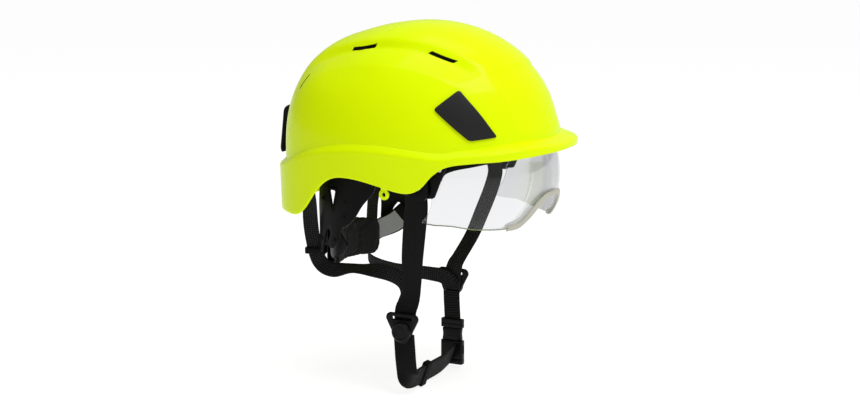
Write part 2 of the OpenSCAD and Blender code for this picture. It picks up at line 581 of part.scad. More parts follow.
// Sliders: where the straps meet, a plate with rounded corners and a round cap
SLIDER = [[5.5, -165], [2, -146]];
slider_in = 59.2;
slider_t = 3;
slider_h = 30;
module slider(side) {
    at = side == RIGHT ? SLIDER[0] : SLIDER[1];
    color(satin_black) translate([at[0], side * (slider_in + slider_t / 2), at[1]])
        rotate([90, 0, 0]) difference() {
            hull() {
                for (x = [-12, 12]) translate([x, slider_h / 2 - 6, 0])
                    cylinder(r = 5, h = slider_t, center = true, $fn = 24);
                translate([0, 7 - slider_h / 2, 0]) cylinder(r = 8, h = slider_t, center = true, $fn = 24);
            }
            translate([0, slider_h / 2 - 6, 0]) cube([21, 3, slider_t + 1], center = true);
        }
}
cap_r = 9.8;
cap_t = 3.6;
module slider_cap(side) {
    at = side == RIGHT ? SLIDER[0] : SLIDER[1];
    color(satin_black) translate([at[0], side * (slider_in + slider_t + 0.1), at[1] - 4])
        rotate([side * -90, 0, 0]) rotate_extrude($fn = 64)
            polygon([[0, 0], [cap_r, 0], [cap_r, cap_t - 1.2], [cap_r - 1.2, cap_t],
                [cap_r - 3, cap_t], [cap_r - 3.6, cap_t - 0.6], [0, cap_t - 0.6]]);
}
// Buckle on the left: the male part hangs on the ribbed webbing, the female part on the chin strap
BUCKLE = [3, 58];
ADJUST = [[1.5, 58, -155], [1.8, 58, -165], [2.4, 58, -176], [3, 58, -187.5]];
module adjust_strap() {
    color(webbing_black) ribbon(ADJUST, same([1, 0, 0], 4), same(web_w - 1, 4), 2);
}
male_top = -184;
male_low = -206;
buckle_w = 24;
module bar(w, t, z_low, z_top, x = 0) {
    translate([BUCKLE[0] + x - w / 2, BUCKLE[1] - t / 2, z_low]) cube([w, t, z_top - z_low]);
}
module buckle_male() {
    color(satin_black) {
        difference() {
            union() {
                bar(buckle_w, 6, -193, male_top);
                bar(buckle_w - 3, 5, male_low, -193);
            }
            bar(web_w + 0.6, 2.6, -188.5, male_top + 1);
            bar(buckle_w - 12, 2.4, male_low - 1, -195);
        }
        for (x = [-6.5, 0, 6.5]) bar(x == 0 ? 3 : 3.6, 3, -222, male_low + slim, x);
        for (x = [-1, 1]) bar(2.4, 3, -218, -212, x * 8.4);
    }
}
female_top = -206.3;
female_low = -231;
module buckle_female() {
    color(satin_black) difference() {
        bar(buckle_w, 7.4, female_low, female_top);
        bar(buckle_w - 4, 3.8, -225, female_top + 1);
        for (x = [-1, 1]) bar(4, 3.8, -220, -211, x * 11);
        translate([0, -0.6 - 3.7, 0]) bar(buckle_w - 6, 3, -229.4, -227);
    }
}
CHIN = [[5.5, -57.2, -173], [6.5, -57.4, -186], [8, -58.2, -200], [9, -56.5, -212], [9.5, -50, -218.4],
    [9.2, -38, -220.3], [9, -8, -220.6], [9, 18, -220.6], [6.5, 38, -220], [4, 53.6, -219.5]];
CHIN_U = [[1, 0, 0.05], [1, 0, 0], [1, 0, 0], [0.9, 0, 0.4], [0.6, 0.3, 0.75], [0.35, 0, 0.93],
    [0.32, 0, 0.95], [0.32, 0, 0.95], [0.3, 0, 0.95], [0.3, 0, 0.95]];
chin_t = 3;
module chin_strap() {
    color(webbing_black) ribbon(CHIN, CHIN_U, same(chin_w, len(CHIN)), chin_t);
}
// Elastic loop round the chin strap
module strap_keeper() {
    color(webbing_black) translate([9.05, -20, -220.55]) rotate([0, 18.4, 0]) difference() {
        cube([chin_t + 3.8, 10, chin_w + 3.8], center = true);
        cube([chin_t + 1.4, 11, chin_w + 1.4], center = true);
    }
}

shell();
side_plate(RIGHT);  // side_plate_right
side_plate(LEFT);  // side_plate_left
rear_clip();
eyelet(RIGHT);  // eyelet_right
eyelet(LEFT);  // eyelet_left
pivot_bracket(RIGHT);  // pivot_bracket_right
pivot_bracket(LEFT);  // pivot_bracket_left
pivot_pin(RIGHT);  // pivot_pin_right
pivot_pin(LEFT);  // pivot_pin_left
visor_lens();
visor_frame();
visor_arm(RIGHT);  // visor_arm_right
visor_arm(LEFT);  // visor_arm_left
nose_trim();
lens_rivets();
headband();
sweatband();
yoke(RIGHT);  // yoke_right
yoke(LEFT);  // yoke_left
yoke_clips();
cradle_strap_upper();
cradle_strap_lower();
cradle_anchors();
band_arm(RIGHT);  // band_arm_right
band_arm(LEFT);  // band_arm_left
size_label();
nape_housing();
nape_cover();
nape_pad();
ratchet_pinion();
size_knob();
knob_screw();
front_anchor(RIGHT);  // front_anchor_right
front_anchor(LEFT);  // front_anchor_left
rear_anchor(RIGHT);  // rear_anchor_right
rear_anchor(LEFT);  // rear_anchor_left
front_strap_right();
front_strap_left();
rear_strap_right();
rear_strap_left();
slider(RIGHT);  // slider_right
slider(LEFT);  // slider_left
slider_cap(RIGHT);  // slider_cap_right
slider_cap(LEFT);  // slider_cap_left
adjust_strap();
buckle_male();
buckle_female();
chin_strap();
strap_keeper();
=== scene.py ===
"""Looks of the vented rescue helmet with an eye visor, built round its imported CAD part.
Lengths are in millimetres until a mesh is made, in the part's frame: +X front, +Y left, +Z up."""
from math import asin, atan2, ceil, copysign, cos, degrees, dist, pi, radians, sin, sqrt

import bmesh
import bpy
import numpy as np
from mathutils import Matrix, Vector, geometry


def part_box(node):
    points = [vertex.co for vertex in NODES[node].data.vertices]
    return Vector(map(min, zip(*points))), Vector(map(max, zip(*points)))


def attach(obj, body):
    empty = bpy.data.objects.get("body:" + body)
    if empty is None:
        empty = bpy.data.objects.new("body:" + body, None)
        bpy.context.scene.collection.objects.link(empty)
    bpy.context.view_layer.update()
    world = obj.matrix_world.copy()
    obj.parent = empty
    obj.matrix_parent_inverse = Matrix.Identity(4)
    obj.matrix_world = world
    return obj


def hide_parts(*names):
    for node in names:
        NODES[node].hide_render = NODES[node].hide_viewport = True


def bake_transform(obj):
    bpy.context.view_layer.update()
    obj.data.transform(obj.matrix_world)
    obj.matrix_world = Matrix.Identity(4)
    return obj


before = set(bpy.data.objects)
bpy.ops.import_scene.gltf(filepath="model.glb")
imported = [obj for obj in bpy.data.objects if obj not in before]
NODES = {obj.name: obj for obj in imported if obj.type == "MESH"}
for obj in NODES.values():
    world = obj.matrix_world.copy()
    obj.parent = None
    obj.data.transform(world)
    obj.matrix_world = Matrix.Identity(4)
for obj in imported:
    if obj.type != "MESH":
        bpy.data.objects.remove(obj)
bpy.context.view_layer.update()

MM = 0.001
RIGHT, LEFT = -1, 1
SIDES = ((RIGHT, "right"), (LEFT, "left"))
HELMET, VISOR, NAPE, KNOB, BUCKLE, KEEPER = "helmet", "visor", "nape", "knob", "buckle", "keeper"
SMOOTH = 38    # degrees: an edge sharper than this stays sharp


# ---- numbers, tables
def clamp(v, lo, hi):
    return max(lo, min(hi, v))


def ease(a, b, v):
    t = clamp((v - a) / (b - a), 0, 1)
    return t * t * (3 - 2 * t)


def mix(a, b, t):
    return a + (b - a) * t


def slope(T, i):
    if i in (0, len(T) - 1):
        return 0
    return (T[i + 1][1] - T[i - 1][1]) / (T[i + 1][0] - T[i - 1][0])


def smooth(T, v):
    """Value of a table at v, a cubic through its points."""
    i = 0
    while i < len(T) - 2 and v >= T[i + 1][0]:
        i += 1
    w = T[i + 1][0] - T[i][0]
    t = clamp((v - T[i][0]) / w, 0, 1)
    u = 1 - t
    return (T[i][1] * u * u * (1 + 2 * t) + T[i + 1][1] * t * t * (3 - 2 * t)
            + w * t * u * (u * slope(T, i) - t * slope(T, i + 1)))


# ---- mesh parts: (vertices, faces, uvs), in millimetres
def area_of(loop):
    """Signed area of a loop, positive where it runs anticlockwise."""
    return sum(a[0] * b[1] - b[0] * a[1] for a, b in zip(loop, loop[1:] + loop[:1])) / 2


def rounded(points, radius, n=5):
    """A polygon with its corners rounded; radius is one number, or one for each corner."""
    out = []
    k = len(points)
    for i, p in enumerate(points):
        p, a, b = Vector(p), Vector(points[i - 1]), Vector(points[(i + 1) % k])
        r = radius[i] if isinstance(radius, (list, tuple)) else radius
        if r <= 0.01:
            out.append((p.x, p.y))
            continue
        r = min(r, 0.48 * (a - p).length, 0.48 * (b - p).length)
        s, e = p + (a - p).normalized() * r, p + (b - p).normalized() * r
        for j in range(n + 1):
            t = j / n
            q = s * (1 - t) ** 2 + p * 2 * t * (1 - t) + e * t * t
            out.append((q.x, q.y))
    return out


def circle(x, y, r, n=24):
    return [(x + r * cos(2 * pi * i / n), y + r * sin(2 * pi * i / n)) for i in range(n)]


def oblong(w, h, r, x=0, y=0, n=5):
    w, h = w / 2, h / 2
    return rounded([(x - w, y - h), (x + w, y - h), (x + w, y + h), (x - w, y + h)], r, n)


def dense(loop, cell):
    """A loop with points added so that none of its edges is longer than cell."""
    if not cell:
        return loop
    out = []
    for a, b in zip(loop, loop[1:] + loop[:1]):
        steps = max(1, ceil(dist(a, b) / cell))
        out += [(mix(a[0], b[0], i / steps), mix(a[1], b[1], i / steps)) for i in range(steps)]
    return out


def inside(p, loops):
    odd = False
    for loop in loops:
        for a, b in zip(loop, loop[1:] + loop[:1]):
            if (a[1] > p[1]) != (b[1] > p[1]) and p[0] < (b[0] - a[0]) * (p[1] - a[1]) / (b[1] - a[1]) + a[0]:
                odd = not odd
    return odd


def inward(loop):
    """Unit vectors that point to the left of a loop, one for each of its points."""
    n = len(loop)
    out = []
    for i in range(n):
        a, b = loop[i - 1], loop[(i + 1) % n]
        d = Vector((b[0] - a[0], b[1] - a[1])).normalized()
        out.append((-d.y, d.x))
    return out


def tube(rows, n, base=0):
    """Faces between rows + 1 closed rings of n vertices each, the first vertex being base."""
    faces = []
    for a in range(base, base + rows * n, n):
        b = a + n
        faces += [(a + i, a + (i + 1) % n, b + (i + 1) % n, b + i) for i in range(n)]
    return faces


def grid_inside(loops, cell):
    """Points of a square grid that lie inside the loops and not close to a loop's own points."""
    xs, ys = [p[0] for p in loops[0]], [p[1] for p in loops[0]]
    bound = np.array([p for loop in loops for p in loop])
    points = []
    x = min(xs) + cell / 2
    while x < max(xs):
        y = min(ys) + cell / 2
        while y < max(ys):
            far = np.min(np.sum((bound - (x, y)) ** 2, 1)) > (0.55 * cell) ** 2
            if far and inside((x, y), loops):
                points.append((x, y))
            y += cell
        x += cell
    return points


def plate(loops, where, low, high, edge=0.4, cell=None):
    """A plate with rounded edges: loops[0] is its outline and the others are holes.
    where(u, v, h) places it, and cell is the size of its faces if it is bent."""
    verts, faces, flat, rings, ends = [], [], [], [], []
    soft = edge * 0.3
    profile = [(edge, low), (soft, low + soft), (0, low + edge),
               (0, high - edge), (soft, high - soft), (edge, high)]
    for k, loop in enumerate(loops):
        loop = list(loop)
        if (area_of(loop) > 0) != (k == 0):
            loop.reverse()
        loop = dense(loop, cell)
        rim = list(zip(loop, inward(loop)))
        n, base, last = len(loop), len(verts), len(profile) - 1
        for inset, h in profile:
            verts += [where(p[0] + m[0] * inset, p[1] + m[1] * inset, h) for p, m in rim]
        faces += tube(last, n, base)
        flat.append([(p[0] + m[0] * edge, p[1] + m[1] * edge) for p, m in rim])
        rings.append(list(range(len(ends), len(ends) + n)))
        ends += [(base + i, base + last * n + i) for i in range(n)]
    points = [p for loop in flat for p in loop] + (grid_inside(flat, cell) if cell else [])
    cut = geometry.delaunay_2d_cdt([Vector(p) for p in points], [], rings, 2, 1e-6)
    for top, h in enumerate((low, high)):
        ids = []
        for q, sources in zip(cut[0], cut[3]):
            if sources and sources[0] < len(ends):
                ids.append(ends[sources[0]][top])
            else:
                ids.append(len(verts))
                verts.append(where(q.x, q.y, h))
        faces += [tuple(ids[i] for i in (f if top else reversed(f))) for f in cut[2]]
    return verts, faces, None


def flat_at(origin, u, v, n=None):
    """where() of a flat plate with its middle at origin and its 2D axes along u and v."""
    origin, u, v = Vector(origin), Vector(u).normalized(), Vector(v).normalized()
    n = Vector(n).normalized() if n else u.cross(v)
    return lambda a, b, h: origin + u * a + v * b + n * h


def upright(mid, side, x0=0, z0=0):
    """where() of a plate that stands fore and aft: its middle at y = mid, its h growing towards side."""
    return lambda x, z, h: Vector((x0 + x, mid + side * h, z0 + z))


def block(w, h, t, at, u=(1, 0, 0), v=(0, 0, 1), r=2.0, edge=0.5, holes=()):
    return plate([oblong(w, h, r), *holes], flat_at(at, u, v), -t / 2, t / 2, edge)


def lathe(profile, at=(0, 0, 0), axis=(0, 0, 1), n=48, radius=None):
    """Turned form from (r, h) points along axis, a ring where they end as they start.
    radius(r, angle) may flute it."""
    turn = Vector((0, 0, 1)).rotation_difference(Vector(axis)).to_matrix()
    verts = []
    for r, h in profile:
        for i in range(n):
            a = 2 * pi * i / n
            q = radius(r, a) if radius else r
            verts.append(turn @ Vector((q * cos(a), q * sin(a), h)) + Vector(at))
    last = (len(profile) - 1) * n
    faces = tube(len(profile) - 1, n)
    if profile[0] == profile[-1]:
        return verts[:last], [tuple(k % last for k in f) for f in faces], None
    return verts, faces + [tuple(reversed(range(n))), tuple(range(last, last + n))], None


def domed(r, h, lip):
    """Profile of a low domed head."""
    steps = 5
    angles = [pi / 2 * i / steps for i in range(1, steps)]
    dome = [(r * cos(a), lip + (h - lip) * sin(a)) for a in angles]
    return [(r * 0.9, 0), (r, lip), *dome, (0.02, h)]


def spline(P, i, t):
    """Catmull-Rom curve through P, between its points i and i + 1."""
    a, b, c, d = P[max(i - 1, 0)], P[i], P[i + 1], P[min(i + 2, len(P) - 1)]
    square, cube = 2 * a - 5 * b + 4 * c - d, 3 * b - a - 3 * c + d
    return 0.5 * (2 * b + (c - a) * t + square * t * t + cube * t * t * t)


def route(P, steps):
    P = [np.array(p, float) for p in P]
    return np.array([spline(P, i, k / steps) for i in range(len(P) - 1) for k in range(steps)] + [P[-1]])


def same(v, n):
    return [v] * n


def flip(P, side):
    return [(p[0], side * p[1], p[2]) for p in P]


def along_route(P, U, W, step, part=(0, 1)):
    """Evenly spaced places along a ribbon's route: distance, point, along, across, normal, width."""
    fine, reach = 40, 0.8
    path, wide, width = route(P, fine), route(U, fine), route([(w, 0, 0) for w in W], fine)[:, 0]
    far = np.concatenate([[0], np.cumsum(np.linalg.norm(np.diff(path, axis=0), axis=1))])
    at_distance = lambda s, values: np.stack([np.interp(s, far, values[:, k]) for k in range(3)], 1)
    lo, hi = part[0] * far[-1], part[1] * far[-1]
    s = np.linspace(lo, hi, max(3, int((hi - lo) / step) + 1))
    d = at_distance(s + reach, path) - at_distance(s - reach, path)
    d /= np.linalg.norm(d, axis=1)[:, None]
    u = at_distance(s, wide)
    u -= d * np.sum(u * d, 1)[:, None]
    u /= np.linalg.norm(u, axis=1)[:, None]
    return s, at_distance(s, path), d, u, np.cross(d, u), np.interp(s, far, width)


def webbing_section(w, t, cells):
    """Cross-section of a woven strap, as (across, through) points, with a slightly thicker selvedge."""
    half = []
    for i in range(cells + 1):
        a = -cos(pi * i / cells)
        thick = 1.0 if abs(a) < 0.78 else 1.1
        half.append((a * w / 2, t / 2 * thick * sqrt(max(1 - abs(a) ** 12, 0.0))))
    return half[:-1] + [(a, -b) for a, b in reversed(half[1:])]


def plain_section(w, t, cells):
    """Cross-section of a moulded strap: flat, with rounded edges."""
    half = [(-w / 2, 0.0), (-w / 2 + t * 0.12, t * 0.36), (-w / 2 + t * 0.45, t / 2)]
    half += [(mix(-w / 2 + t, w / 2 - t, i / cells), t / 2) for i in range(cells + 1)]
    half += [(w / 2 - t * 0.45, t / 2), (w / 2 - t * 0.12, t * 0.36)]
    return half + [(-a, -b) for a, b in half]


def ribbon(P, U, W, t, step=2.0, lift=None, cells=10, section=webbing_section):
    """A strap swept along a route. lift(s, a) adds to its thickness at distance s and place a across."""
    s, at, _, u, v, w = along_route(P, U, W, step)
    verts, uvs = [], []
    for i in range(len(s)):
        ring = section(w[i], t, cells)
        for a, b in ring:
            if lift and abs(b) > 0.05:
                b += copysign(lift(s[i], a), b)
            verts.append(Vector(at[i] + u[i] * a + v[i] * b))
            uvs.append((s[i], a))
    n, last = len(ring), len(s) - 1
    ends = [tuple(reversed(range(n))), tuple(range(last * n, (last + 1) * n))]
    return verts, tube(last, n) + ends, uvs


def stitches(line, along, normal, length, rise):
    """A row of thread stitches at the points of line."""
    rings, sides, width = ((-0.5, 0.25), (-0.3, 0.85), (0, 1), (0.3, 0.85), (0.5, 0.25)), 6, 0.5
    verts, faces = [], []
    for p, d, n in zip(line, along, normal):
        p, d, n = Vector(p), Vector(d).normalized(), Vector(n).normalized()
        side, base = d.cross(n), len(verts)
        for f, r in rings:
            for k in range(sides):
                a = 2 * pi * k / sides
                verts.append(p + d * f * length + side * cos(a) * width / 2 * r
                             + n * (sin(a) * rise * r))
        faces += tube(len(rings) - 1, sides, base)
        faces += [tuple(range(base, base + sides)), tuple(range(len(verts) - sides, len(verts)))]
    return verts, faces, None, THREAD


def metres(p):
    return tuple(c * MM for c in p)


def reshape(mesh, *steps):
    """Runs steps on a mesh's bmesh."""
    b = bmesh.new()
    b.from_mesh(mesh)
    for step in steps:
        step(b)
    b.to_mesh(mesh)
    b.free()


def face_outwards(b):
    bmesh.ops.recalc_face_normals(b, faces=b.faces)


def weld(b):
    bmesh.ops.remove_doubles(b, verts=b.verts, dist=1e-6)
    bmesh.ops.delete(b, geom=[v for v in b.verts if not v.link_faces], context="VERTS")


def cut_large_faces(b):
    bmesh.ops.triangulate(b, faces=[f for f in b.faces if len(f.verts) > 4])


def piece(name, parts, material, body, replaced=(), angle=SMOOTH):
    """Joins mesh parts into one object, in metres. A part may name its own material as a fourth item."""
    verts, faces, uvs, kinds, materials = [], [], [], [], [material]
    for part in parts:
        own = part[3] if len(part) > 3 else material
        if own not in materials:
            materials.append(own)
        base = len(verts)
        verts += [metres(v) for v in part[0]]
        faces += [tuple(base + i for i in f) for f in part[1]]
        kinds += [materials.index(own)] * len(part[1])
        uvs += part[2] or [(0, 0)] * len(part[0])
    mesh = bpy.data.meshes.new(name)
    mesh.from_pydata(verts, [], faces)
    mesh.polygons.foreach_set("material_index", kinds)
    layer = mesh.uv_layers.new(name="UVMap")
    for loop in mesh.loops:
        layer.data[loop.index].uv = uvs[loop.vertex_index]
    reshape(mesh, face_outwards)
    for m in materials:
        mesh.materials.append(m)
    finish_mesh(mesh, angle)
    o = bpy.data.objects.new(name, mesh)
    bpy.context.scene.collection.objects.link(o)
    return settle(o, body, replaced)


def pair(name, make, material, body, replaced, angle=SMOOTH):
    """A right and a left piece whose parts are make(side). body may be a pair of bodies too."""
    for (side, tag), on in zip(SIDES, same(body, 2) if isinstance(body, str) else body):
        piece(f"{name}_{tag}", make(side), material, on, f"{replaced}_{tag}", angle)


def finish_mesh(mesh, angle):
    """Smooth shading, but for edges sharper than angle."""
    mesh.polygons.foreach_set("use_smooth", [True] * len(mesh.polygons))
    mesh.set_sharp_from_angle(angle=radians(angle))
    mesh.update()


def settle(o, body, replaced=()):
    """Hides the CAD nodes a piece stands for and hangs it on the body it rides on."""
    if replaced:
        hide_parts(*([replaced] if isinstance(replaced, str) else replaced))
    if body:
        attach(o, body)
    return o


# ---- materials
def node(tree, kind, settings=None, **inputs):
    """A new shader node. An input is given by its name, or as i and its number."""
    n = tree.nodes.new("ShaderNode" + kind)
    for key, value in (settings or {}).items():
        setattr(n, key, value)
    for key, value in inputs.items():
        numbered = key[0] == "i" and key[1:].isdigit()
        socket = n.inputs[int(key[1:]) if numbered else key.replace("_", " ")]
        if isinstance(value, bpy.types.NodeSocket):
            tree.links.new(value, socket)
        else:
            socket.default_value = value
    return n


def calc(tree, op, a, b=0.0):
    return node(tree, "Math", {"operation": op}, i0=a, i1=b).outputs[0]


def ramp(tree, value, low, high, to_low, to_high):
    return node(tree, "MapRange", Value=value, From_Min=low, From_Max=high,
                To_Min=to_low, To_Max=to_high).outputs[0]


def object_place(tree):
    return node(tree, "TexCoord").outputs["Object"]


def noise_of(tree, where, scale, detail, **more):
    return node(tree, "TexNoise", Vector=where, Scale=scale, Detail=detail, **more).outputs["Fac"]


def two_tone(tree, factor, dark, light):
    tone = node(tree, "Mix", {"data_type": "RGBA"}, Factor=factor)
    tone.inputs[6].default_value, tone.inputs[7].default_value = dark, light
    return tone.outputs[2]


def new_material(name):
    m = bpy.data.materials.new(name)
    m.use_nodes = True
    return m, m.node_tree, m.node_tree.nodes["Principled BSDF"]


def set_inputs(shader, **values):
    for key, value in values.items():
        shader.inputs[key.replace("_", " ")].default_value = value


def surface(tree, bsdf, colour, roughness, height, strength, distance):
    """Colour, roughness and bump of a Principled shader."""
    tree.links.new(colour, bsdf.inputs["Base Color"])
    tree.links.new(roughness, bsdf.inputs["Roughness"])
    bump = node(tree, "Bump", Height=height, Strength=strength, Distance=distance)
    tree.links.new(bump.outputs[0], bsdf.inputs["Normal"])


def linear(r, g, b):
    """A display colour as linear RGBA."""
    return (*(c / 12.92 if c <= 0.04045 else ((c + 0.055) / 1.055) ** 2.4 for c in (r, g, b)), 1)


def plastic(name, colour, rough, grain=(900, 0.15), spread=0.05, drift=0.06, coat=0.0, glow=0.0, scuff=0.0,
            shine=0.5):
    """Moulded plastic: a fine grain, as (scale, depth), with a slow drift in its colour and roughness."""
    m, t, bsdf = new_material(name)
    where = object_place(t)
    slow, fine = noise_of(t, where, 18.0, 3.0), noise_of(t, where, grain[0], 2.0)
    dark, light = [(*(min(1, c * (1 + s * drift)) for c in colour[:3]), 1) for s in (-1, 1)]
    shade = two_tone(t, slow, dark, light)
    roughness = ramp(t, slow, 0.3, 0.7, rough - spread, rough + spread)
    if scuff:
        streaks = noise_of(t, where, 260.0, 4.0, Distortion=1.5)
        roughness = calc(t, "ADD", roughness, ramp(t, streaks, 0.6, 0.75, 0.0, scuff))
    surface(t, bsdf, shade, roughness, fine, grain[1], 0.0002)
    set_inputs(bsdf, Specular_IOR_Level=shine, Coat_Weight=coat, Coat_Roughness=0.06)
    if glow:
        t.links.new(shade, bsdf.inputs["Emission Color"])
        set_inputs(bsdf, Emission_Strength=glow)
    return m


def webbing(name, pattern, light):
    """Woven strap: u runs along it and v across, both in millimetres. pattern is diamond, rib or plain."""
    m, t, bsdf = new_material(name)
    uv = node(t, "SeparateXYZ", Vector=node(t, "UVMap").outputs[0])
    u, v = uv.outputs[0], uv.outputs[1]
    wave = lambda value, pitch: calc(t, "SINE", calc(t, "MULTIPLY", value, 2 * pi / pitch))
    cloth = calc(t, "MULTIPLY", wave(v, 1.1), wave(u, 0.9))
    if pattern == "diamond":
        crossed = [wave(calc(t, op, u, v), 4.4) for op in ("ADD", "SUBTRACT")]
        figure, weave = ramp(t, calc(t, "MULTIPLY", *crossed), 0.12, 0.5, 0.0, 1.0), 0.35
    elif pattern == "rib":
        figure, weave = ramp(t, wave(u, 2.6), 0.3, 0.9, 0.0, 1.0), 0.25
    else:
        chevron = wave(calc(t, "ADD", u, calc(t, "ABSOLUTE", v)), 1.8)
        figure, weave = ramp(t, chevron, -0.2, 0.8, 0.0, 0.35), 0.5
    height = calc(t, "ADD", calc(t, "MULTIPLY", cloth, weave), figure)
    fuzz = noise_of(t, object_place(t), 1400.0, 2.0)
    shade = two_tone(t, calc(t, "MULTIPLY", figure, fuzz), STRAP_DARK, light)
    surface(t, bsdf, shade, ramp(t, fuzz, 0.3, 0.7, 0.7, 0.9), height, 0.5, 0.00035)
    set_inputs(bsdf, Sheen_Weight=0.03, Sheen_Roughness=0.5, Specular_IOR_Level=0.15)
    return m


def knit(name, colour, light):
    """Soft pad cloth: small cells in object space, so that it needs no UVs."""
    m, t, bsdf = new_material(name)
    where = object_place(t)
    cells = node(t, "TexVoronoi", Vector=where, Scale=950.0).outputs["Distance"]
    slow = noise_of(t, where, 60.0, 3.0)
    shade = two_tone(t, calc(t, "MULTIPLY", cells, slow), colour, light)
    surface(t, bsdf, shade, ramp(t, slow, 0.3, 0.7, 0.82, 0.95), cells, 0.6, 0.0004)
    set_inputs(bsdf, Sheen_Weight=0.06, Specular_IOR_Level=0.25)
    return m


def clear(name, tint, rough, shade_share=0.0, shade_colour=(0.8, 0.82, 0.84, 1)):
    """Clear sheet: light goes straight through with a faint tint, and its gloss follows Fresnel. An opaque
    grey may be mixed in: painted shade for the dark line along the lens's edge.
    """
    m, t, bsdf = new_material(name)
    t.nodes.remove(bsdf)
    haze = noise_of(t, object_place(t), 35.0, 4.0)
    through = node(t, "BsdfTransparent", Color=(*tint, 1)).outputs[0]
    dull = ramp(t, haze, 0.3, 0.7, rough, rough * 2)
    gloss = node(t, "BsdfGlossy", Color=(1, 1, 1, 1), Roughness=dull).outputs[0]
    body = node(t, "BsdfPrincipled", Base_Color=shade_colour, Roughness=0.25).outputs[0]
    shaded_through = node(t, "MixShader", Fac=shade_share, i1=through, i2=body).outputs[0]
    skin = calc(t, "MULTIPLY", node(t, "Fresnel", IOR=1.45).outputs[0], 0.6)
    mixed = node(t, "MixShader", Fac=skin, i1=shaded_through, i2=gloss).outputs[0]
    t.links.new(mixed, t.nodes["Material Output"].inputs["Surface"])
    return m


def metal(name, colour, rough):
    m = plastic(name, colour, rough, (700, 0.1), 0.08, 0.1)
    set_inputs(m.node_tree.nodes["Principled BSDF"], Metallic=1.0)
    return m


SHELL_MAT = plastic("hi_vis_abs", (0.72, 0.92, 0.0, 1), 0.27, (650, 0.05), 0.03, 0.015, coat=0.08, glow=0.03,
                    scuff=0.05, shine=0.04)
BLACK = plastic("black_satin", linear(0.06, 0.06, 0.063), 0.42, (1300, 0.25), 0.06, 0.12, scuff=0.12,
                shine=0.06)
GRAINED = plastic("black_grained", linear(0.13, 0.13, 0.132), 0.45, (1600, 0.5), 0.05, 0.12, shine=0.15)
BUCKLE_MAT = plastic("buckle_acetal", linear(0.06, 0.06, 0.062), 0.34, (1100, 0.15), 0.06, 0.12, scuff=0.1,
                     shine=0.12)
KNOB_MAT = plastic("knob_rubberised", linear(0.06, 0.06, 0.065), 0.5, (1500, 0.5), 0.05, 0.1, shine=0.1)
# Near black of the fillers in the vent slots: painted shade, for the dark inside seen through them.
VENT_SHADE_MAT = plastic("vent_painted_shade", linear(0.02, 0.02, 0.022), 0.6, (1300, 0.3), 0.05, 0.1, shine=0.04)
TRIM_MAT = plastic("soft_trim", linear(0.74, 0.73, 0.68), 0.5, (900, 0.2), 0.06, 0.05, shine=0.15)
LABEL_MAT = plastic("grey_tape", linear(0.58, 0.58, 0.59), 0.42, (500, 0.35), 0.08, 0.12, shine=0.4)
GEAR_MAT = plastic("natural_nylon", linear(0.82, 0.81, 0.76), 0.4, (900, 0.1))
STEEL = metal("zinc_steel", linear(0.72, 0.72, 0.74), 0.3)
LENS_MAT = clear("clear_lens", (0.9, 0.902, 0.908), 0.03)
# Half-opaque grey on the lens's edge: painted shade in place of the dark line that its edge shows.
LENS_EDGE_SHADE = clear("lens_edge_painted_shade", (0.5, 0.52, 0.54), 0.15, 0.5, (0.42, 0.43, 0.45, 1))
STRAP_DARK = linear(0.02, 0.02, 0.021)
DIAMOND = webbing("diamond_webbing", "diamond", linear(0.26, 0.26, 0.27))
RIBBED = webbing("ribbed_webbing", "rib", linear(0.2, 0.2, 0.205))
PLAIN = webbing("plain_webbing", "plain", linear(0.06, 0.06, 0.062))
PAD_MAT = knit("pad_cloth", linear(0.03, 0.03, 0.033), linear(0.1, 0.1, 0.104))
THREAD = plastic("black_thread", linear(0.13, 0.13, 0.135), 0.7, (2000, 0.4), shine=0.2)


# ---- shell
# By degrees round the shell from its front: height of the rim, height of the dome's foot, reach of the flare.
RIM = [(0, 11.5), (12, 10.8), (22, 9.2), (34, 6.5), (45, 5), (55, 1.5), (61, -6.5), (66, -18),
       (71, -23.5), (77, -23.8), (88, -19), (97, -15.5), (105, -14), (112, -15.2), (118, -21),
       (124, -33), (130, -48), (135, -56), (141, -58.5), (180, -59)]
BELT = [(0, 21), (22, 21.3), (35, 18.6), (48, 15.5), (58, 12.5), (71, 14.5), (86, 17), (106, 16),
        (123, 10.5), (138, 1), (150, -9), (165, -13), (180, -14)]
FLARE = [(0, 17), (22, 15.5), (35, 11.5), (48, 8), (60, 5.5), (75, 4.5), (120, 5), (150, 6.2), (180, 6)]
# By x: distance from the middle line at which the side step starts, at which it ends, and of its shelf's end.
STEP_TOP = [(-125, 24), (-110, 28), (-93, 34), (-76, 41), (-60, 46.5), (-25, 53), (26, 54), (52, 53),
            (72, 51), (88, 48.5)]
STEP_FOOT = [(-125, 38), (-110, 43), (-86, 49), (-57, 55.5), (-23, 60.5), (3, 62.5), (30, 62.6), (60, 61),
             (79, 58.6), (88, 55)]
SHELF_END = [(-125, 60), (-94, 69), (-77, 71), (-43, 76.7), (-13, 80.5), (13, 80.2), (39, 79.2), (62, 75.7),
             (71, 73.4)]
# By x: share of the side step's depth, and how far the crown is lowered.
STEP_DROP = [(-128, 0), (-105, 0.55), (-80, 1), (60, 1), (90, 0.6)]
CROWN_DIP = [(-125, 0), (-95, 2), (-62, 4.6), (-30, 3.2), (0, 0.8), (30, 0), (88, 0)]
DOME_FRONT, DOME_REAR, HALF_W, DOME_H, DOME_X = 141, 134.5, 106, 124.5, -6
PLAN_POW, RISE_POW, WALL, STEP = 2.09, 2.26, 2.6, 4.5
PANEL_DROP, PANEL_HALF = 1.6, 47
CREASE_X, CREASE_BOW = 101.3, 0.0055
FLARE_H, RIM_TAPER = 6.5, 2
REAR_X, FRONT_X = -128, 88


def dome_half(c):
    return DOME_FRONT if c > 0 else DOME_REAR


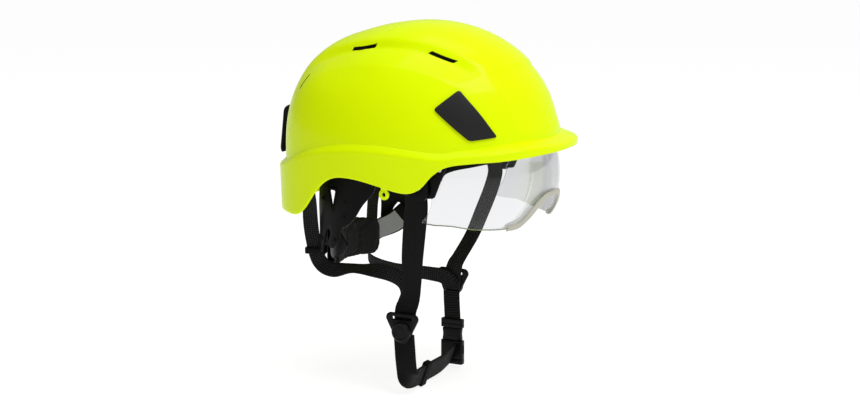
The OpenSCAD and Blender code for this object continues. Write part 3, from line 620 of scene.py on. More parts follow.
def dome_point(phi, psi):
    """Point of the plain dome, phi round it and psi up it in degrees; below psi 0 it goes straight down."""
    c, s = cos(radians(phi)), sin(radians(phi))
    r = 1 / ((abs(c) / dome_half(c)) ** PLAN_POW + (abs(s) / HALF_W) ** PLAN_POW) ** (1 / PLAN_POW)
    if psi > 0:
        r *= cos(radians(psi)) ** (2 / RISE_POW)
        z = DOME_H * sin(radians(psi)) ** (2 / RISE_POW)
    else:
        z = DOME_H * radians(psi)
    return Vector((DOME_X + r * c, r * s, z))


def dome_normal(p):
    a = dome_half(p[0] - DOME_X)
    return Vector(((p[0] - DOME_X) / a ** 2, p[1] / HALF_W ** 2, max(p[2], 0) / DOME_H ** 2)).normalized()


def relief(p):
    """How far the surface stands off the plain dome: the side steps, the front panel and the crown's dip."""
    y, x, s = abs(p[1]), clamp(p[0], REAR_X, FRONT_X), p[0] + CREASE_BOW * p[1] ** 2 - CREASE_X
    top, foot, out = smooth(STEP_TOP, x), smooth(STEP_FOOT, x), smooth(SHELF_END, x)
    rise = mix(ease(top, foot, y), clamp((y - top) / (foot - top), 0, 1), 0.7)
    valley = rise * clamp((out - y) / (out - foot), 0, 1)
    fade = (1 - ease(-9, 0, s)) * ease(8, 40, p[2])
    panel = clamp(s / 4, 0, 1) * (1 - ease(PANEL_HALF - 2, PANEL_HALF + 2, y)) * ease(22, 42, p[2])
    dip = smooth(CROWN_DIP, x) * ease(55, 95, p[2])
    return -STEP * smooth(STEP_DROP, x) * valley * fade - PANEL_DROP * panel - dip


def side_point(x, z, side, lift=0):
    """Point of the shell's outer surface seen from the side at x and z, raised by lift."""
    q = (1 - (max(z, 0) / DOME_H) ** RISE_POW) ** (PLAN_POW / RISE_POW)
    y = HALF_W * max(q - (abs(x - DOME_X) / dome_half(x - DOME_X)) ** PLAN_POW, 0) ** (1 / PLAN_POW)
    p = Vector((x, side * y, z))
    return p + dome_normal(p) * (relief(p) + lift)


def belt_psi(z):
    """The psi of the plain dome at height z."""
    return degrees(asin((z / DOME_H) ** (RISE_POW / 2))) if z > 0 else degrees(z / DOME_H)


COLS, DOME_ROWS, FLARE_ROWS, SKIRT_ROWS = 300, 64, 12, 12
FLARE_SOFT = -0.25


def shell_column(phi):
    """Outer surface at one angle, from the crown down to the rim: dome, then flare, then skirt."""
    base = dome_point(phi, 0)
    az = abs(degrees(atan2(base.y, base.x)))
    belt, rim, flare = smooth(BELT, az), smooth(RIM, az), smooth(FLARE, az)
    out = Vector((base.x - DOME_X, base.y, 0)).normalized()
    low = belt_psi(belt)
    points = []
    for i in range(DOME_ROWS + 1):
        p = dome_point(phi, mix(90, low, max(i / DOME_ROWS, 0.0015) ** 0.9))
        points.append(p + dome_normal(p) * relief(p))
    foot, start = points[-1], ease(FLARE_SOFT, 1, 0)
    for i in range(1, FLARE_ROWS + 1):
        t = i / FLARE_ROWS
        shift = out * flare * ease(FLARE_SOFT, 1, t) * (1 - start * (1 - t))
        points.append(foot - Vector((0, 0, FLARE_H * t)) + shift)
    drop = max(belt - FLARE_H - rim, 1.5)
    for i in range(1, SKIRT_ROWS + 1):
        t = i / SKIRT_ROWS
        shift = out * (flare - RIM_TAPER * t * ease(140, 170, az))
        points.append(foot + shift - Vector((0, 0, FLARE_H + drop * t)))
    return points


def shell_part():
    """The shell as one closed skin: outer surface, rounded rim, inner surface."""
    columns = [[tuple(p) for p in shell_column(c * 360 / COLS)] for c in range(COLS)]
    grid = np.array(columns).transpose(1, 0, 2)
    du = np.roll(grid, -1, 1) - np.roll(grid, 1, 1)
    dv = np.empty_like(grid)
    dv[1:-1], dv[0], dv[-1] = grid[2:] - grid[:-2], grid[1] - grid[0], grid[-1] - grid[-2]
    normal = np.cross(dv, du)
    normal /= np.linalg.norm(normal, axis=2)[:, :, None]
    inner = grid - WALL * normal
    down = dv[-1] / np.linalg.norm(dv[-1], axis=1)[:, None]
    middle, rounds = (grid[-1] + inner[-1]) / 2, []
    for a in np.radians((30, 60, 90, 120, 150)):
        rounds.append(middle + normal[-1] * WALL / 2 * cos(a) + down * WALL / 2 * sin(a) * 0.9)
    rings = list(grid) + rounds + list(inner[::-1])
    last = (len(rings) - 1) * COLS
    ends = [tuple(range(COLS)), tuple(reversed(range(last, last + COLS)))]
    return [Vector(p) for ring in rings for p in ring], tube(len(rings) - 1, COLS) + ends, None


VENTS = [((-106, 57.4), (-97.4, 74.3)), ((-54.5, 104.4), (-24.8, 108.2)), ((34.2, 102.9), (60.3, 94.3))]
VENT_HALF, VENT_SHEAR, VENT_SINK, VENT_CUT = 1.1, 1.5, 0.35, 8


def vent_plate(ends, side, low, high):
    """A slanted slot's outline, laid on the shell's surface from depth low to height high."""
    a, b = Vector(ends[0]), Vector(ends[1])
    d = (b - a).normalized()
    w = Vector((-d.y, d.x)) * VENT_HALF
    lean = d * VENT_SHEAR
    outline = [tuple(p) for p in (a - w - lean, b - w - lean, b + w + lean, a + w + lean)]
    return plate([rounded(outline, 0.5, 3)], lambda x, z, h: side_point(x, z, side, h), low, high, 0.05, 2.5)


def cut_out(o, parts, angle=35):
    """Cuts mesh parts out of an object."""
    cutter = piece("cutter", parts, SHELL_MAT, None)
    cut = o.modifiers.new("cut", "BOOLEAN")
    cut.operation, cut.object, cut.solver = "DIFFERENCE", cutter, "EXACT"
    take(o)
    finish_mesh(o.data, angle)
    bpy.data.objects.remove(cutter)


def take(o):
    """Makes what an object's modifiers show its own mesh."""
    mesh = bpy.data.meshes.new_from_object(o.evaluated_get(bpy.context.evaluated_depsgraph_get()))
    o.modifiers.clear()
    o.data = mesh


def make_shell():
    vents = [(ends, side) for side in (RIGHT, LEFT) for ends in VENTS]
    o = piece("shell_skin", [shell_part()], SHELL_MAT, None)
    cut_out(o, [vent_plate(ends, side, -VENT_CUT, VENT_CUT) for ends, side in vents])
    settle(o, HELMET, "shell")
    # Black fillers in the vent slots, just below the outer face: painted shade where the slots show the dark
    # inside.
    shade_fills = [vent_plate(ends, side, -WALL, -VENT_SINK) for ends, side in vents]
    piece("vent_shade_fill", shade_fills, VENT_SHADE_MAT, HELMET)


PLATE = [(52.6, 51.7), (70.8, 68.8), (105.1, 26.4), (84.7, 23.5)]


def side_plate(side):
    """Black blanking plate of the accessory slot, thickest at its middle."""
    rear_top, front_top, front_foot, rear_foot = PLATE
    outline = rounded([rear_top, front_top, (91, 47.5), front_foot, rear_foot], [2.5, 3, 12, 2.5, 2.5])
    mid, reach, crown = Vector((78, 42)), 26, 0.25

    def where(x, z, h):
        far = (Vector((x, z)) - mid).length
        return side_point(x, z, side, h * (1 + crown * (1 - min(far / reach, 1))))
    return [plate([outline], where, 0.3, 1.7, 0.45, 2.4)]


HOOK_HALF, HOOK_RIBS = 13, 4


def rear_hook():
    """Sprung hook at the rear, its outline swept across its width, with small ribs on its back."""
    outline = rounded([(-139.2, 33), (-144.6, 35), (-150.6, 31), (-155.1, -10), (-153.6, -14), (-151.1, -13),
                       (-148.1, 18), (-145.1, 22), (-139.4, 22)], [0.5, 3, 4, 3, 1.2, 0.8, 2.5, 2.5, 0.5])
    parts = [plate([outline], upright(0, 1), -HOOK_HALF, HOOK_HALF, 1.6)]
    for k in range(HOOK_RIBS):
        at = (-154.2 + 0.6 * k, 0, -4 + 5 * k)
        parts.append(block(20, 1.1, 0.9, at, (0, 1, 0), (0.11, 0, 0.99), 0.5, 0.25))
    return parts


EYELET_AT, EYELET_R, EYELET_HOLE, EYELET_T = (10, 106.4, -27.6), 5, 2.2, 2.4


def eyelet(side):
    """Lanyard eyelet: a ring on a short stem, with a lip round its hole on both faces."""
    x, y, z = EYELET_AT
    angles = [radians(d) for d in range(128, 413, 8)]
    ring = [(EYELET_R * cos(a), EYELET_R * sin(a)) for a in angles]
    stem = [(3, 6), (3.3, 14.5), (-3.3, 14.5), (-3, 6)]
    hole, lip = circle(0, 0, EYELET_HOLE, 28), circle(0, 0, EYELET_HOLE + 1.3, 32)
    half = EYELET_T / 2
    parts = [plate([ring + stem, hole], upright(side * y, 1, x, z), -half, half, 0.45)]
    for f in (-1, 1):
        parts.append(plate([lip, hole], upright(side * y, f, x, z), half - 0.1, half + 0.25, 0.12))
    return parts


def make_shell_fittings():
    pair("slot_plate", side_plate, GRAINED, HELMET, "side_plate", 50)
    pair("cord_eyelet", eyelet, SHELL_MAT, HELMET, "eyelet", 45)
    piece("rear_hook", rear_hook(), BLACK, HELMET, "rear_clip", 35)


# ---- visor
PIVOT = Vector((40, 0, -20))
LENS_R, LENS_W, LENS_T = 95, 88, 2
LENS_LOW = [(10, -40), (13, -48), (21.7, -71), (30, -86), (36.5, -96), (38.5, -84), (41, -69), (47.4, -55),
            (64, -41), (73, -35.6), (79.5, -32.2), (85.5, -28.2), (88.6, -21.8), (91, -15.4), (93, -10.6),
            (95, -8.6)]
FRAME_LOW = [(18, 12), (22, 24), (26, 29), (48, 23), (71, 19.3), (86, 17.7), (95, 17.3)]
LENS_TOP = [(10, 45), (26, 46), (48, 33.5), (71, 27.5), (86, 25), (95, 24)]
TRIM_LOW = [(77, -34.5), (79.5, -33), (85.5, -29.1), (88.6, -22.7), (91, -16.3), (93, -11.5), (95, -9.5)]
TRIM_TOP = [(77, -30.5), (82, -27.8), (85.7, -23.4), (88.3, -16.5), (91.3, -10.6), (93.3, -7.6), (95, -6.8)]
ARM_IN, ARM_T, BRACKET_IN, BRACKET_T = 91, 2.4, 94.6, 2.5


def visor_point(y, angle, lift):
    """Point of the visor's surface at y and at an angle about the pivots' axis, raised by lift."""
    k = (LENS_W + lift) / LENS_W
    rho = (LENS_R + lift) * sqrt(max(1 - (y / LENS_W) ** 2, 0))
    a = radians(angle)
    return PIVOT + Vector((rho * cos(a), y * k, rho * sin(a)))


def visor_sheet(cols, rows, end, low, high, lifts, swell, crown=0.0, rim=None):
    """Curved sheet between two lifts from the visor's surface, with a rounded edge.
    low and high give its edges' angles, crown bulges its outer face and rim is its edge's material."""
    n, base = cols + 1, (rows + 1) * (cols + 1)
    ys = [LENS_W * sin(radians(mix(-end, end, c / cols))) for c in range(n)]
    verts, faces = [], []

    def at(c, r, lift):
        rho = LENS_R * sqrt(1 - (ys[c] / LENS_W) ** 2)
        return visor_point(ys[c], mix(smooth(low, rho), smooth(high, rho), r / rows), lift)
    for inner, lift in enumerate(lifts):
        for r in range(rows + 1):
            bulge = 0 if inner else crown * sin(pi * r / rows)
            verts += [at(c, r, lift + bulge) for c in range(n)]
    for r in range(rows):
        for a in range(r * n, r * n + cols):
            b = base + a
            faces += [(a, a + n, a + n + 1, a + 1), (b, b + 1, b + n + 1, b + n)]
    edge = sheet_edge(verts, rows, n, swell)
    if rim is None:
        return [(verts, faces + edge, None)]
    return [(verts, faces, None), (verts, edge, None, rim)]


def sheet_edge(verts, rows, n, swell):
    """Adds a ring of vertices between a sheet's two skins, pushed out by swell, and returns its faces."""
    base, cols = (rows + 1) * n, n - 1
    edge = list(range(n)) + [r * n + cols for r in range(1, rows + 1)]
    edge += [rows * n + c for c in range(cols - 1, -1, -1)] + [r * n for r in range(rows - 1, 0, -1)]
    ring, faces = len(verts), []
    for e in edge:
        r, c = divmod(e, n)
        push = Vector()
        if r in (0, rows):
            push += (verts[e] - verts[e + (n if r == 0 else -n)]).normalized()
        if c in (0, cols):
            push += (verts[e] - verts[e + (1 if c == 0 else -1)]).normalized()
        verts.append((verts[e] + verts[base + e]) / 2 + push.normalized() * swell)
    for i, e in enumerate(edge):
        j = (i + 1) % len(edge)
        f, a, b = edge[j], ring + i, ring + j
        faces += [(e, f, b, a), (a, b, base + f, base + e)]
    return faces


def make_lens():
    """The clear lens: its skins and its edge, of another material, welded into one closed piece."""
    skins = visor_sheet(150, 26, 83, LENS_LOW, LENS_TOP, (0, -LENS_T), 0.25, 0.0, LENS_EDGE_SHADE)
    o = piece("lens_clear", skins, LENS_MAT, None)
    reshape(o.data, weld, face_outwards)
    finish_mesh(o.data, SMOOTH)
    settle(o, VISOR, "visor_lens")


def arm_parts(side):
    """Side arm of the visor: the arm, a hub round its pivot, and a ring on the hub."""
    outline = [(46, -31), (54.5, -30), (61.5, -12.5), (64, -6), (68.6, 1), (64.6, 6), (50, 0), (36, -8)]
    half = ARM_T / 2
    where = upright(side * (ARM_IN + half), side)
    disc = lambda r, n: circle(PIVOT.x, PIVOT.z, r, n)
    return [plate([rounded(outline, 2.2)], where, -half, half, 0.5),
            plate([disc(12, 48), disc(3.08, 28)], where, -half, half, 0.5),
            plate([disc(9.6, 48), disc(7.2, 36)], where, half - 0.1, half + 0.45, 0.15)]


def bracket_parts(side):
    """Pivot bracket: a plate with the pin's hole and a slot, and two posts that stand against the shell."""
    outline = [(28, -27), (32, -33), (46, -33), (50, -27), (49, -4), (45, 7), (30, 7), (26, -4)]
    half = BRACKET_T / 2
    mid = side * (BRACKET_IN + half)
    holes = [circle(PIVOT.x, PIVOT.z, 3, 28), oblong(8, 5, 2, 38, -3)]
    post = [(3.2, 0), (3.5, 0.4), (3.5, 4.6), (3.2, 5)]
    body = plate([rounded(outline, 3), *holes], upright(mid, side), -half, half, 0.4)
    return [body] + [lathe(post, (32, mid + side * 1.1, z), (0, side, 0), 24) for z in (-24, 0)]


def pivot_stud(side):
    """Pin and domed inner head of one pivot."""
    inwards, outer, head = (0, -side, 0), BRACKET_IN + BRACKET_T, ARM_IN + 0.1
    shank = [(2.7, 0), (3, 0.3), (3, 6.2), (2.7, 6.5)]
    return [lathe(shank, (PIVOT.x, side * outer, PIVOT.z), inwards, 32),
            lathe(domed(5, 1.6, 0.5), (PIVOT.x, side * head, PIVOT.z), inwards, 36)]


def arm_rivets(side):
    """Two rivets that hold the frame strip to its arm, each with a low head."""
    shank = [(1.1, 0), (1.2, 0.2), (1.2, 10), (1.1, 10.3)]
    parts = []
    for x, z in ((60, -3), (65, 2)):
        parts.append(lathe(shank, (x, side * 94.1, z), (0, -side, 0), 16))
        parts.append(lathe(domed(2.2, 0.75, 0.15), (x, side * 93.35, z), (0, side, 0), 24))
    return parts


def make_visor():
    make_lens()
    strip = visor_sheet(110, 6, 78, FRAME_LOW, LENS_TOP, (2.25, 0.25), 0.4, 0.25)
    piece("lens_carrier", strip, BLACK, VISOR, "visor_frame")
    edging = visor_sheet(90, 5, 33, TRIM_LOW, TRIM_TOP, (1.6, 0.2), 0.5, 0.5)
    piece("nose_edging", edging, TRIM_MAT, VISOR, "nose_trim", 60)
    pair("visor_side_arm", arm_parts, BLACK, VISOR, "visor_arm")
    pair("pivot_plate", bracket_parts, BLACK, HELMET, "pivot_bracket")
    pair("pivot_stud", pivot_stud, STEEL, HELMET, "pivot_pin")
    piece("lens_rivet_heads", arm_rivets(RIGHT) + arm_rivets(LEFT), STEEL, VISOR, "lens_rivets")


# ---- headband, yokes, cradle
BAND_FRONT, BAND_W, BAND_T, BAND_H, BAND_END = 98, 78, 1.8, 28, 100
BAND_SCALE = 1.5    # mm of band to one degree of azimuth
BAND_Z = [(-20, -16), (0, -10), (30, 0), (60, 9), (98, 16)]


def band_point(angle, up, out):
    """Point of the headband at an angle round the head, raised by up and moved outwards by out."""
    a = radians(angle)
    x = (BAND_FRONT + out) * cos(a)
    return Vector((x, (BAND_W + out) * sin(a), smooth(BAND_Z, clamp(x, -20, 98)) + up))


def band_place(u, v, h):
    """A place on the headband: u millimetres round it from the front, v up and h outwards."""
    return band_point(u / BAND_SCALE, v, h)


def make_headband():
    end, neck = BAND_END * BAND_SCALE, BAND_END * BAND_SCALE - 40
    outline = rounded([(-end, -10), (-neck, -14), (neck, -14), (end, -10), (end, 10), (neck, 14), (-neck, 14),
                       (-end, 10)], [5, 20, 20, 5, 5, 20, 20, 5], 6)
    slots = [oblong(11, 3, 1.4, x, 0, 4) for x in range(-135, 136, 18)]
    piece("headband_strip", [plate([outline, *slots], band_place, -BAND_T / 2, BAND_T / 2, 0.4, 4)], BLACK,
          HELMET, "headband")


YOKE_C, YOKE_R, YOKE_T = (-28, 0), 82, 2
YOKE = [(-10, -20), (-13, -32), (-25, -45), (-33, -58), (-41, -66), (-50, -70), (-53, -82),
        (-62, -92), (-68, -88), (-63, -76), (-66, -71), (-71, -78), (-76, -98), (-82, -97), (-81, -74),
        (-82, -50), (-80, -20)]
YOKE_SLOT = [(-60, -52), (-56, -34), (-64, -34)]
GUIDE, GUIDE_TURN = (-89.6, 58.2, -99), 17.5


def yoke_place(side):
    """where() on a yoke's cylinder, from its side view."""
    def where(x, z, h):
        r, mid = YOKE_R + YOKE_T / 2 + h, YOKE_R + 1
        along = x - YOKE_C[0]
        return Vector((YOKE_C[0] + along * r / mid, side * r * sqrt(max(1 - (along / mid) ** 2, 0)), z))
    return where


def yoke_parts(side):
    """Rear yoke: a cut-out plate, a rim round its slot, studs, and the guide ring of the rear strap."""
    where, half = yoke_place(side), YOKE_T / 2
    outline = rounded(YOKE, [4, 6, 5, 5, 5, 5, 5, 5, 3, 3, 3, 4, 3, 3, 5, 5, 4])
    rim = [rounded([(-60, -57), (-52.5, -31), (-67.5, -31)], 3),
           rounded([(-60, -53.5), (-55, -33), (-65, -33)], 2)]
    parts = [plate([outline, rounded(YOKE_SLOT, 2)], where, -half, half, 0.5, 4),
             plate(rim, where, half - 0.2, half + 0.6, 0.25, 3)]
    stud = [(2.2, 0), (2.2, 0.5), (1.8, 0.9), (1.2, 0.9), (0.9, 0.5), (0.02, 0.4)]
    for x, z in ((-44, -44), (-46, -58), (-74, -44), (-58, -82), (-77, -84)):
        at = where(x, z, half - 0.1)
        parts.append(lathe(stud, at, Vector((at.x - YOKE_C[0], at.y, 0)).normalized(), 24))
    turn = radians(-side * GUIDE_TURN)
    u, v = (cos(turn), sin(turn), 0), (-sin(turn), cos(turn), 0)
    ring = flat_at((GUIDE[0], side * GUIDE[1], GUIDE[2]), u, v, (0, 0, 1))
    parts.append(plate([oblong(21, 8.6, 2.6), oblong(17.4, 5.4, 1.6)], ring, -3, 3, 0.6))
    parts.append(block(5, 8, 7.4, (-79.4, side * 61.2, -96), (1, 0, 0), (0, 0, 1), 1.5, 0.8))
    return parts


CRADLE = [(41, -67.5, 22), (37, -54, 48), (20, -29, 76), (0, 0, 86), (-26, 26, 76), (-52, 49, 42),
          (-66, 61, -4)]
CRADLE_U = [(0.6, 0.5, -0.5), (0.6, 0.75, 0), (0.5, 0.8, 0), (0.5, 0.8, 0), (0.6, 0.7, 0), (0.7, 0.7, 0),
            (0.7, 0.7, 0)]
WEB_T = 1.5


def hanger(side, x):
    """Clip between a yoke and the shell at x."""
    reach = sqrt((YOKE_R + YOKE_T) ** 2 - (abs(x - YOKE_C[0]) - 6) ** 2) + 0.3
    top = HALF_W * sqrt(1 - ((abs(x) + 6) / DOME_REAR) ** 2) - 2
    where, half = upright(side * (reach + top) / 2, 1, x, -10), (top - reach) / 2
    return plate([oblong(10, 12, 2.2), oblong(4, 5, 1.5)], where, -half, half, 0.7)


def cradle_socket(at, w, turn):
    """Socket of a cradle strap's end: a plate turned about the vertical, with a slot."""
    a = radians(turn)
    slot = oblong(w - 7, 2.4, 1, 0, 3)
    return block(w, w, 2.4, at, (cos(a), sin(a), 0), (0, 0, 1), 3, 0.6, [slot])


def make_harness():
    pair("yoke_plate", yoke_parts, BLACK, HELMET, "yoke")
    hangers = [hanger(side, x) for side in (RIGHT, LEFT) for x in (-22, -66)]
    piece("yoke_hangers", hangers, BLACK, HELMET, "yoke_clips")
    sunk = [(p[0], -p[1], p[2] - (2.6 if 1 < i < 5 else 0)) for i, p in enumerate(CRADLE)]
    for level, P, U in (("upper", CRADLE, CRADLE_U), ("lower", sunk, flip(CRADLE_U, -1))):
        piece(f"cradle_webbing_{level}", [ribbon(P, U, same(18, 7), WEB_T)], PLAIN, HELMET,
              f"cradle_strap_{level}", 60)
    sockets = []
    for side in (RIGHT, LEFT):
        sockets.append(cradle_socket((48, side * 71.8, 17), 14, side * -24))
        sockets.append(cradle_socket((-70, side * 65.5, -8), 16, side * 38))
    piece("cradle_sockets", sockets, BLACK, HELMET, "cradle_anchors")


ARM_ROUTE = [(-54, -69, -80), (-64, -60.5, -90), (-76.6, -48.4, -97), (-86.8, -33.6, -101),
             (-92.5, -19, -101), (-95.4, 2, -101)]
ARM_U = [(-0.72, 0.27, 0.64), (-0.53, 0.31, 0.77), (-0.24, 0.25, 0.93), (0, 0, 1), (0, 0, 1), (0, 0, 1)]
ARM_W = [22, 22, 20, 13, 7, 7]
RACK_LIFT, NAPE_Z = 12.5, -101


def arm_route(side):
    """Route of a band arm; the right one ends above the left, so that their racks pass each other."""
    lift = lambda i: side * RACK_LIFT * ease(2, 4, i)
    return flip([(x, y, z - lift(i)) for i, (x, y, z) in enumerate(ARM_ROUTE)], -side)


def rack(s, a):
    """Height of the rack's teeth on a band strap."""
    return 0.25 if s % 3.2 < 1.4 and abs(a) < 3 and s > 78 else 0


def size_tape():
    """Plain grey tape on the outer face of the left band strap."""
    s, at, _, u, v, _ = along_route(arm_route(LEFT), flip(ARM_U, -1), ARM_W, 1.0, (0.1, 0.44))
    picked = range(0, len(s), 4)
    lifted, across = [tuple(at[i] - v[i] * 1.25) for i in picked], [tuple(u[i]) for i in picked]
    return ribbon(lifted, across, same(19, len(lifted)), 0.5, 1.0, section=plain_section)


def make_band_arms():
    for side, tag in SIDES:
        P, U = arm_route(side), flip(ARM_U, -side)
        strip = ribbon(P, U, ARM_W, 1.4, 0.8, rack, section=plain_section)
        o = piece(f"band_strap_{tag}", [strip], BLACK, None, f"band_arm_{tag}", 50)
        metres(P[0])
        metres(P[3])
        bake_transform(o)
    P = arm_route(LEFT)
    o = piece("grey_tape", [size_tape()], LABEL_MAT, None, "size_label", 50)
    metres(P[0])
    metres(P[3])
    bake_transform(o)


# ---- nape adjuster
NAPE_IN, NAPE_OUT, NAPE_WALL, NAPE_H, NAPE_HALF = 64.4, 71, 1.6, 38, 34


def nape_place(r):
    """where() on the nape's cylinder: u runs round it in millimetres at radius r, v up and h outwards."""
    def where(u, v, h):
        a = pi - u / r
        return Vector((YOKE_C[0] + (r + h) * cos(a), (r + h) * sin(a), NAPE_Z + v))
    return where


def nape_front():
    """Housing half towards the head, with four slots for the pad."""
    r = NAPE_IN + NAPE_WALL / 2
    w = 2 * radians(NAPE_HALF) * r
    slots = [oblong(3, 16, 1.4, s * (w / 2 - d), 0, 4) for s in (-1, 1) for d in (7, 13)]
    return [plate([oblong(w, NAPE_H, 7), *slots], nape_place(r), -NAPE_WALL / 2, NAPE_WALL / 2, 0.4, 4)]


def nape_back():
    """Rear cover: its wall, the lips that close it, raised side pads with grip ribs, and a ring."""
    r, half = NAPE_OUT - NAPE_WALL / 2, NAPE_WALL / 2
    w, depth = 2 * radians(NAPE_HALF - 4) * r, r - NAPE_IN - NAPE_WALL - 0.2
    place = nape_place(r)
    raised = lambda loops, height, cell, root=0.2: plate(loops, place, half - root, half + height, 0.3, cell)
    parts = [plate([oblong(w, NAPE_H, 7), circle(0, 0, 3.1, 32)], place, -half, half, 0.5, 4)]
    for s in (-1, 1):
        lip = oblong(w - 12, 1.6, 0.5, 0, s * (NAPE_H / 2 - 0.8), 3)
        parts.append(plate([lip], place, -depth, -0.4, 0.3, 4))
        parts.append(raised([oblong(6, NAPE_H - 14, 2, s * (w / 2 - 8), 0)], 0.5, 3))
        parts += [raised([oblong(12, 1.2, 0.5, s * 23, k * 5, 3)], 0.4, 3) for k in (-1, 0, 1)]
    return parts + [raised([circle(0, 0, 16.6, 64), circle(0, 0, 15, 64)], 0.6, 2, 0.3)]


def dial_parts():
    """Fluted dial with three raised marks on its face."""
    flute = lambda r, a: r - 0.9 * clamp((r - 11.5) / 2.5, 0, 1) * (0.5 - 0.5 * cos(16 * a)) ** 2
    dial = [(1.35, 0), (11, 0), (12.6, 0.4), (14, 1.4), (14, 4.4), (13.6, 5.3), (12.6, 5.9), (11, 6),
            (10.2, 5.5), (6.2, 5.1), (5.4, 5.6), (4.2, 5.8), (3.6, 5.5), (3.6, 4.4), (1.35, 4.4), (1.35, 0)]
    parts = [lathe(dial, (-99.4, 0, NAPE_Z), (-1, 0, 0), 192, flute)]
    for turn in (30, 150, 270):
        c, s = cos(radians(turn)), sin(radians(turn))
        at = (-105.0, 8.3 * c, NAPE_Z + 8.3 * s)
        parts.append(block(3.4, 1.3, 1.0, at, (0, c, s), (0, -s, c), 0.5, 0.25))
    return parts


def make_nape():
    piece("nape_inner_plate", nape_front(), BLACK, NAPE, "nape_housing")
    piece("nape_shell", nape_back(), BLACK, NAPE, "nape_cover")
    piece("size_dial", dial_parts(), KNOB_MAT, KNOB, "size_knob", 32)
    dressed("ratchet_pinion", GEAR_MAT)
    dressed("knob_screw", STEEL)


def dressed(name, material):
    """A CAD node that is already as it should be gets its material only."""
    NODES[name].data.materials.clear()
    NODES[name].data.materials.append(material)


# ---- webbing and its fittings
FRONT_RIGHT = [(25, -84.8, -6), (29, -84, -20), (31, -81.7, -38), (26, -76, -65), (20.5, -69.5, -95),
               (17, -63, -118), (13, -58.6, -136), (8, -58, -148), (6, -58, -160), (5.5, -58, -172)]
FRONT_LEFT = [(25, 83.9, -6), (34, 82.4, -18), (39, 80.8, -32), (36, 77.4, -50), (28, 73, -74),
              (20, 67.5, -97), (9.5, 60.2, -119), (5.4, 57.9, -128), (2.5, 57.8, -141), (1.5, 57.8, -153)]
REAR_RIGHT = [(-83.4, -76.4, -34), (-90.6, -67, -62), (-90.6, -61, -90), (-87, -54.5, -111),
              (-73, -54, -117.5), (-45, -57, -113), (-12, -61, -112.5), (4, -58.4, -120), (9, -55.4, -132),
              (7, -55.2, -144), (5.2, -55.2, -156)]
REAR_RIGHT_U = [(0.8, -0.6, 0), (0.95, 0.2, 0), (0.95, 0.3, 0), (0.75, 0.45, 0.45), (0.1, 0.4, 0.9),
                (0, 0.9, 0.4), (0.1, 0.3, 0.95), (0.7, 0, 0.7), (1, 0, 0.25), (1, 0, 0.15), (1, 0, 0.15)]
REAR_LEFT = [(-83.4, 76.4, -34), (-90.6, 67, -62), (-90.6, 61, -90), (-88, 54, -113),
             (-84, 45, -128), (-56, 44, -135), (-20, 51, -138), (-4, 54.6, -141), (2.5, 54.8, -150)]
REAR_LEFT_U = [(0.8, 0.6, 0), (0.95, -0.2, 0), (0.95, -0.3, 0), (0.75, -0.45, 0.45), (0.1, -0.4, 0.9),
               (0.1, -0.4, 0.9), (0.2, -0.1, 1), (0.6, 0, 0.8), (0.9, 0, 0.3)]
SLIDER = {RIGHT: (5.5, -165), LEFT: (2, -146)}
SLIDER_IN, SLIDER_T, CAP_R, CAP_T = 59.2, 3, 9.8, 3.6
ADJUST = [(1.5, 58, -155), (1.8, 58, -165), (2.4, 58, -176), (3, 58, -187.5)]
CHIN = [(5.5, -57.2, -173), (6.5, -57.4, -186), (8, -58.2, -200), (9, -56.5, -212), (9.5, -50, -218.4),
        (9.2, -38, -220.3), (9, -8, -220.6), (9, 18, -220.6), (6.5, 38, -220), (4, 53.6, -219.5)]
CHIN_U = [(1, 0, 0.05), (1, 0, 0), (1, 0, 0), (0.9, 0, 0.4), (0.6, 0.3, 0.75), (0.35, 0, 0.93),
          (0.32, 0, 0.95), (0.32, 0, 0.95), (0.3, 0, 0.95), (0.3, 0, 0.95)]
CHIN_T, CHIN_W = 3, 22
KEEPER_AT, KEEPER_TURN = (9.05, -20, -220.55), 18.4


def tack(P, U, W, part):
    """Box-and-zigzag bar tack on both faces of a strap, between two shares of its length."""
    s, at, d, u, v, w = along_route(P, U, W, 1.1, part)
    last, pitch, share = len(s) - 1, 1.5, 0.7
    line, way, out = [], [], []
    for face in (-1, 1):
        for i in range(last + 1):
            half, end = w[i] / 2 * share, i in (0, last)
            places = [-half, half, half * sin(i * 1.9)]
            for a in np.linspace(-half, half, int(2 * half / pitch) + 1) if end else places:
                line.append(at[i] + u[i] * a + v[i] * face * WEB_T / 2)
                way.append(u[i] if end else d[i])
                out.append(v[i] * face)
    return stitches(line, way, out, 1.5, 0.28)


def selvedge(P, U, W, part, rise):
    """Stitches along both edges of a strap, on both faces."""
    s, at, d, u, v, w = along_route(P, U, W, 2.6, part)
    inset = 1.6
    line, way, out = [], [], []
    for face in (-1, 1):
        for edge in (-1, 1):
            for i in range(len(s)):
                line.append(at[i] + u[i] * edge * (w[i] / 2 - inset) + v[i] * face * rise)
                way.append(d[i])
                out.append(v[i] * face)
    return stitches(line, way, out, 1.7, 0.25)


def ribs(s, a):
    """Height of the adjuster webbing's ribs."""
    return 0.35 * max(0, sin(2 * pi * s / 2.2)) * (1 if abs(a) < 8 else 0)


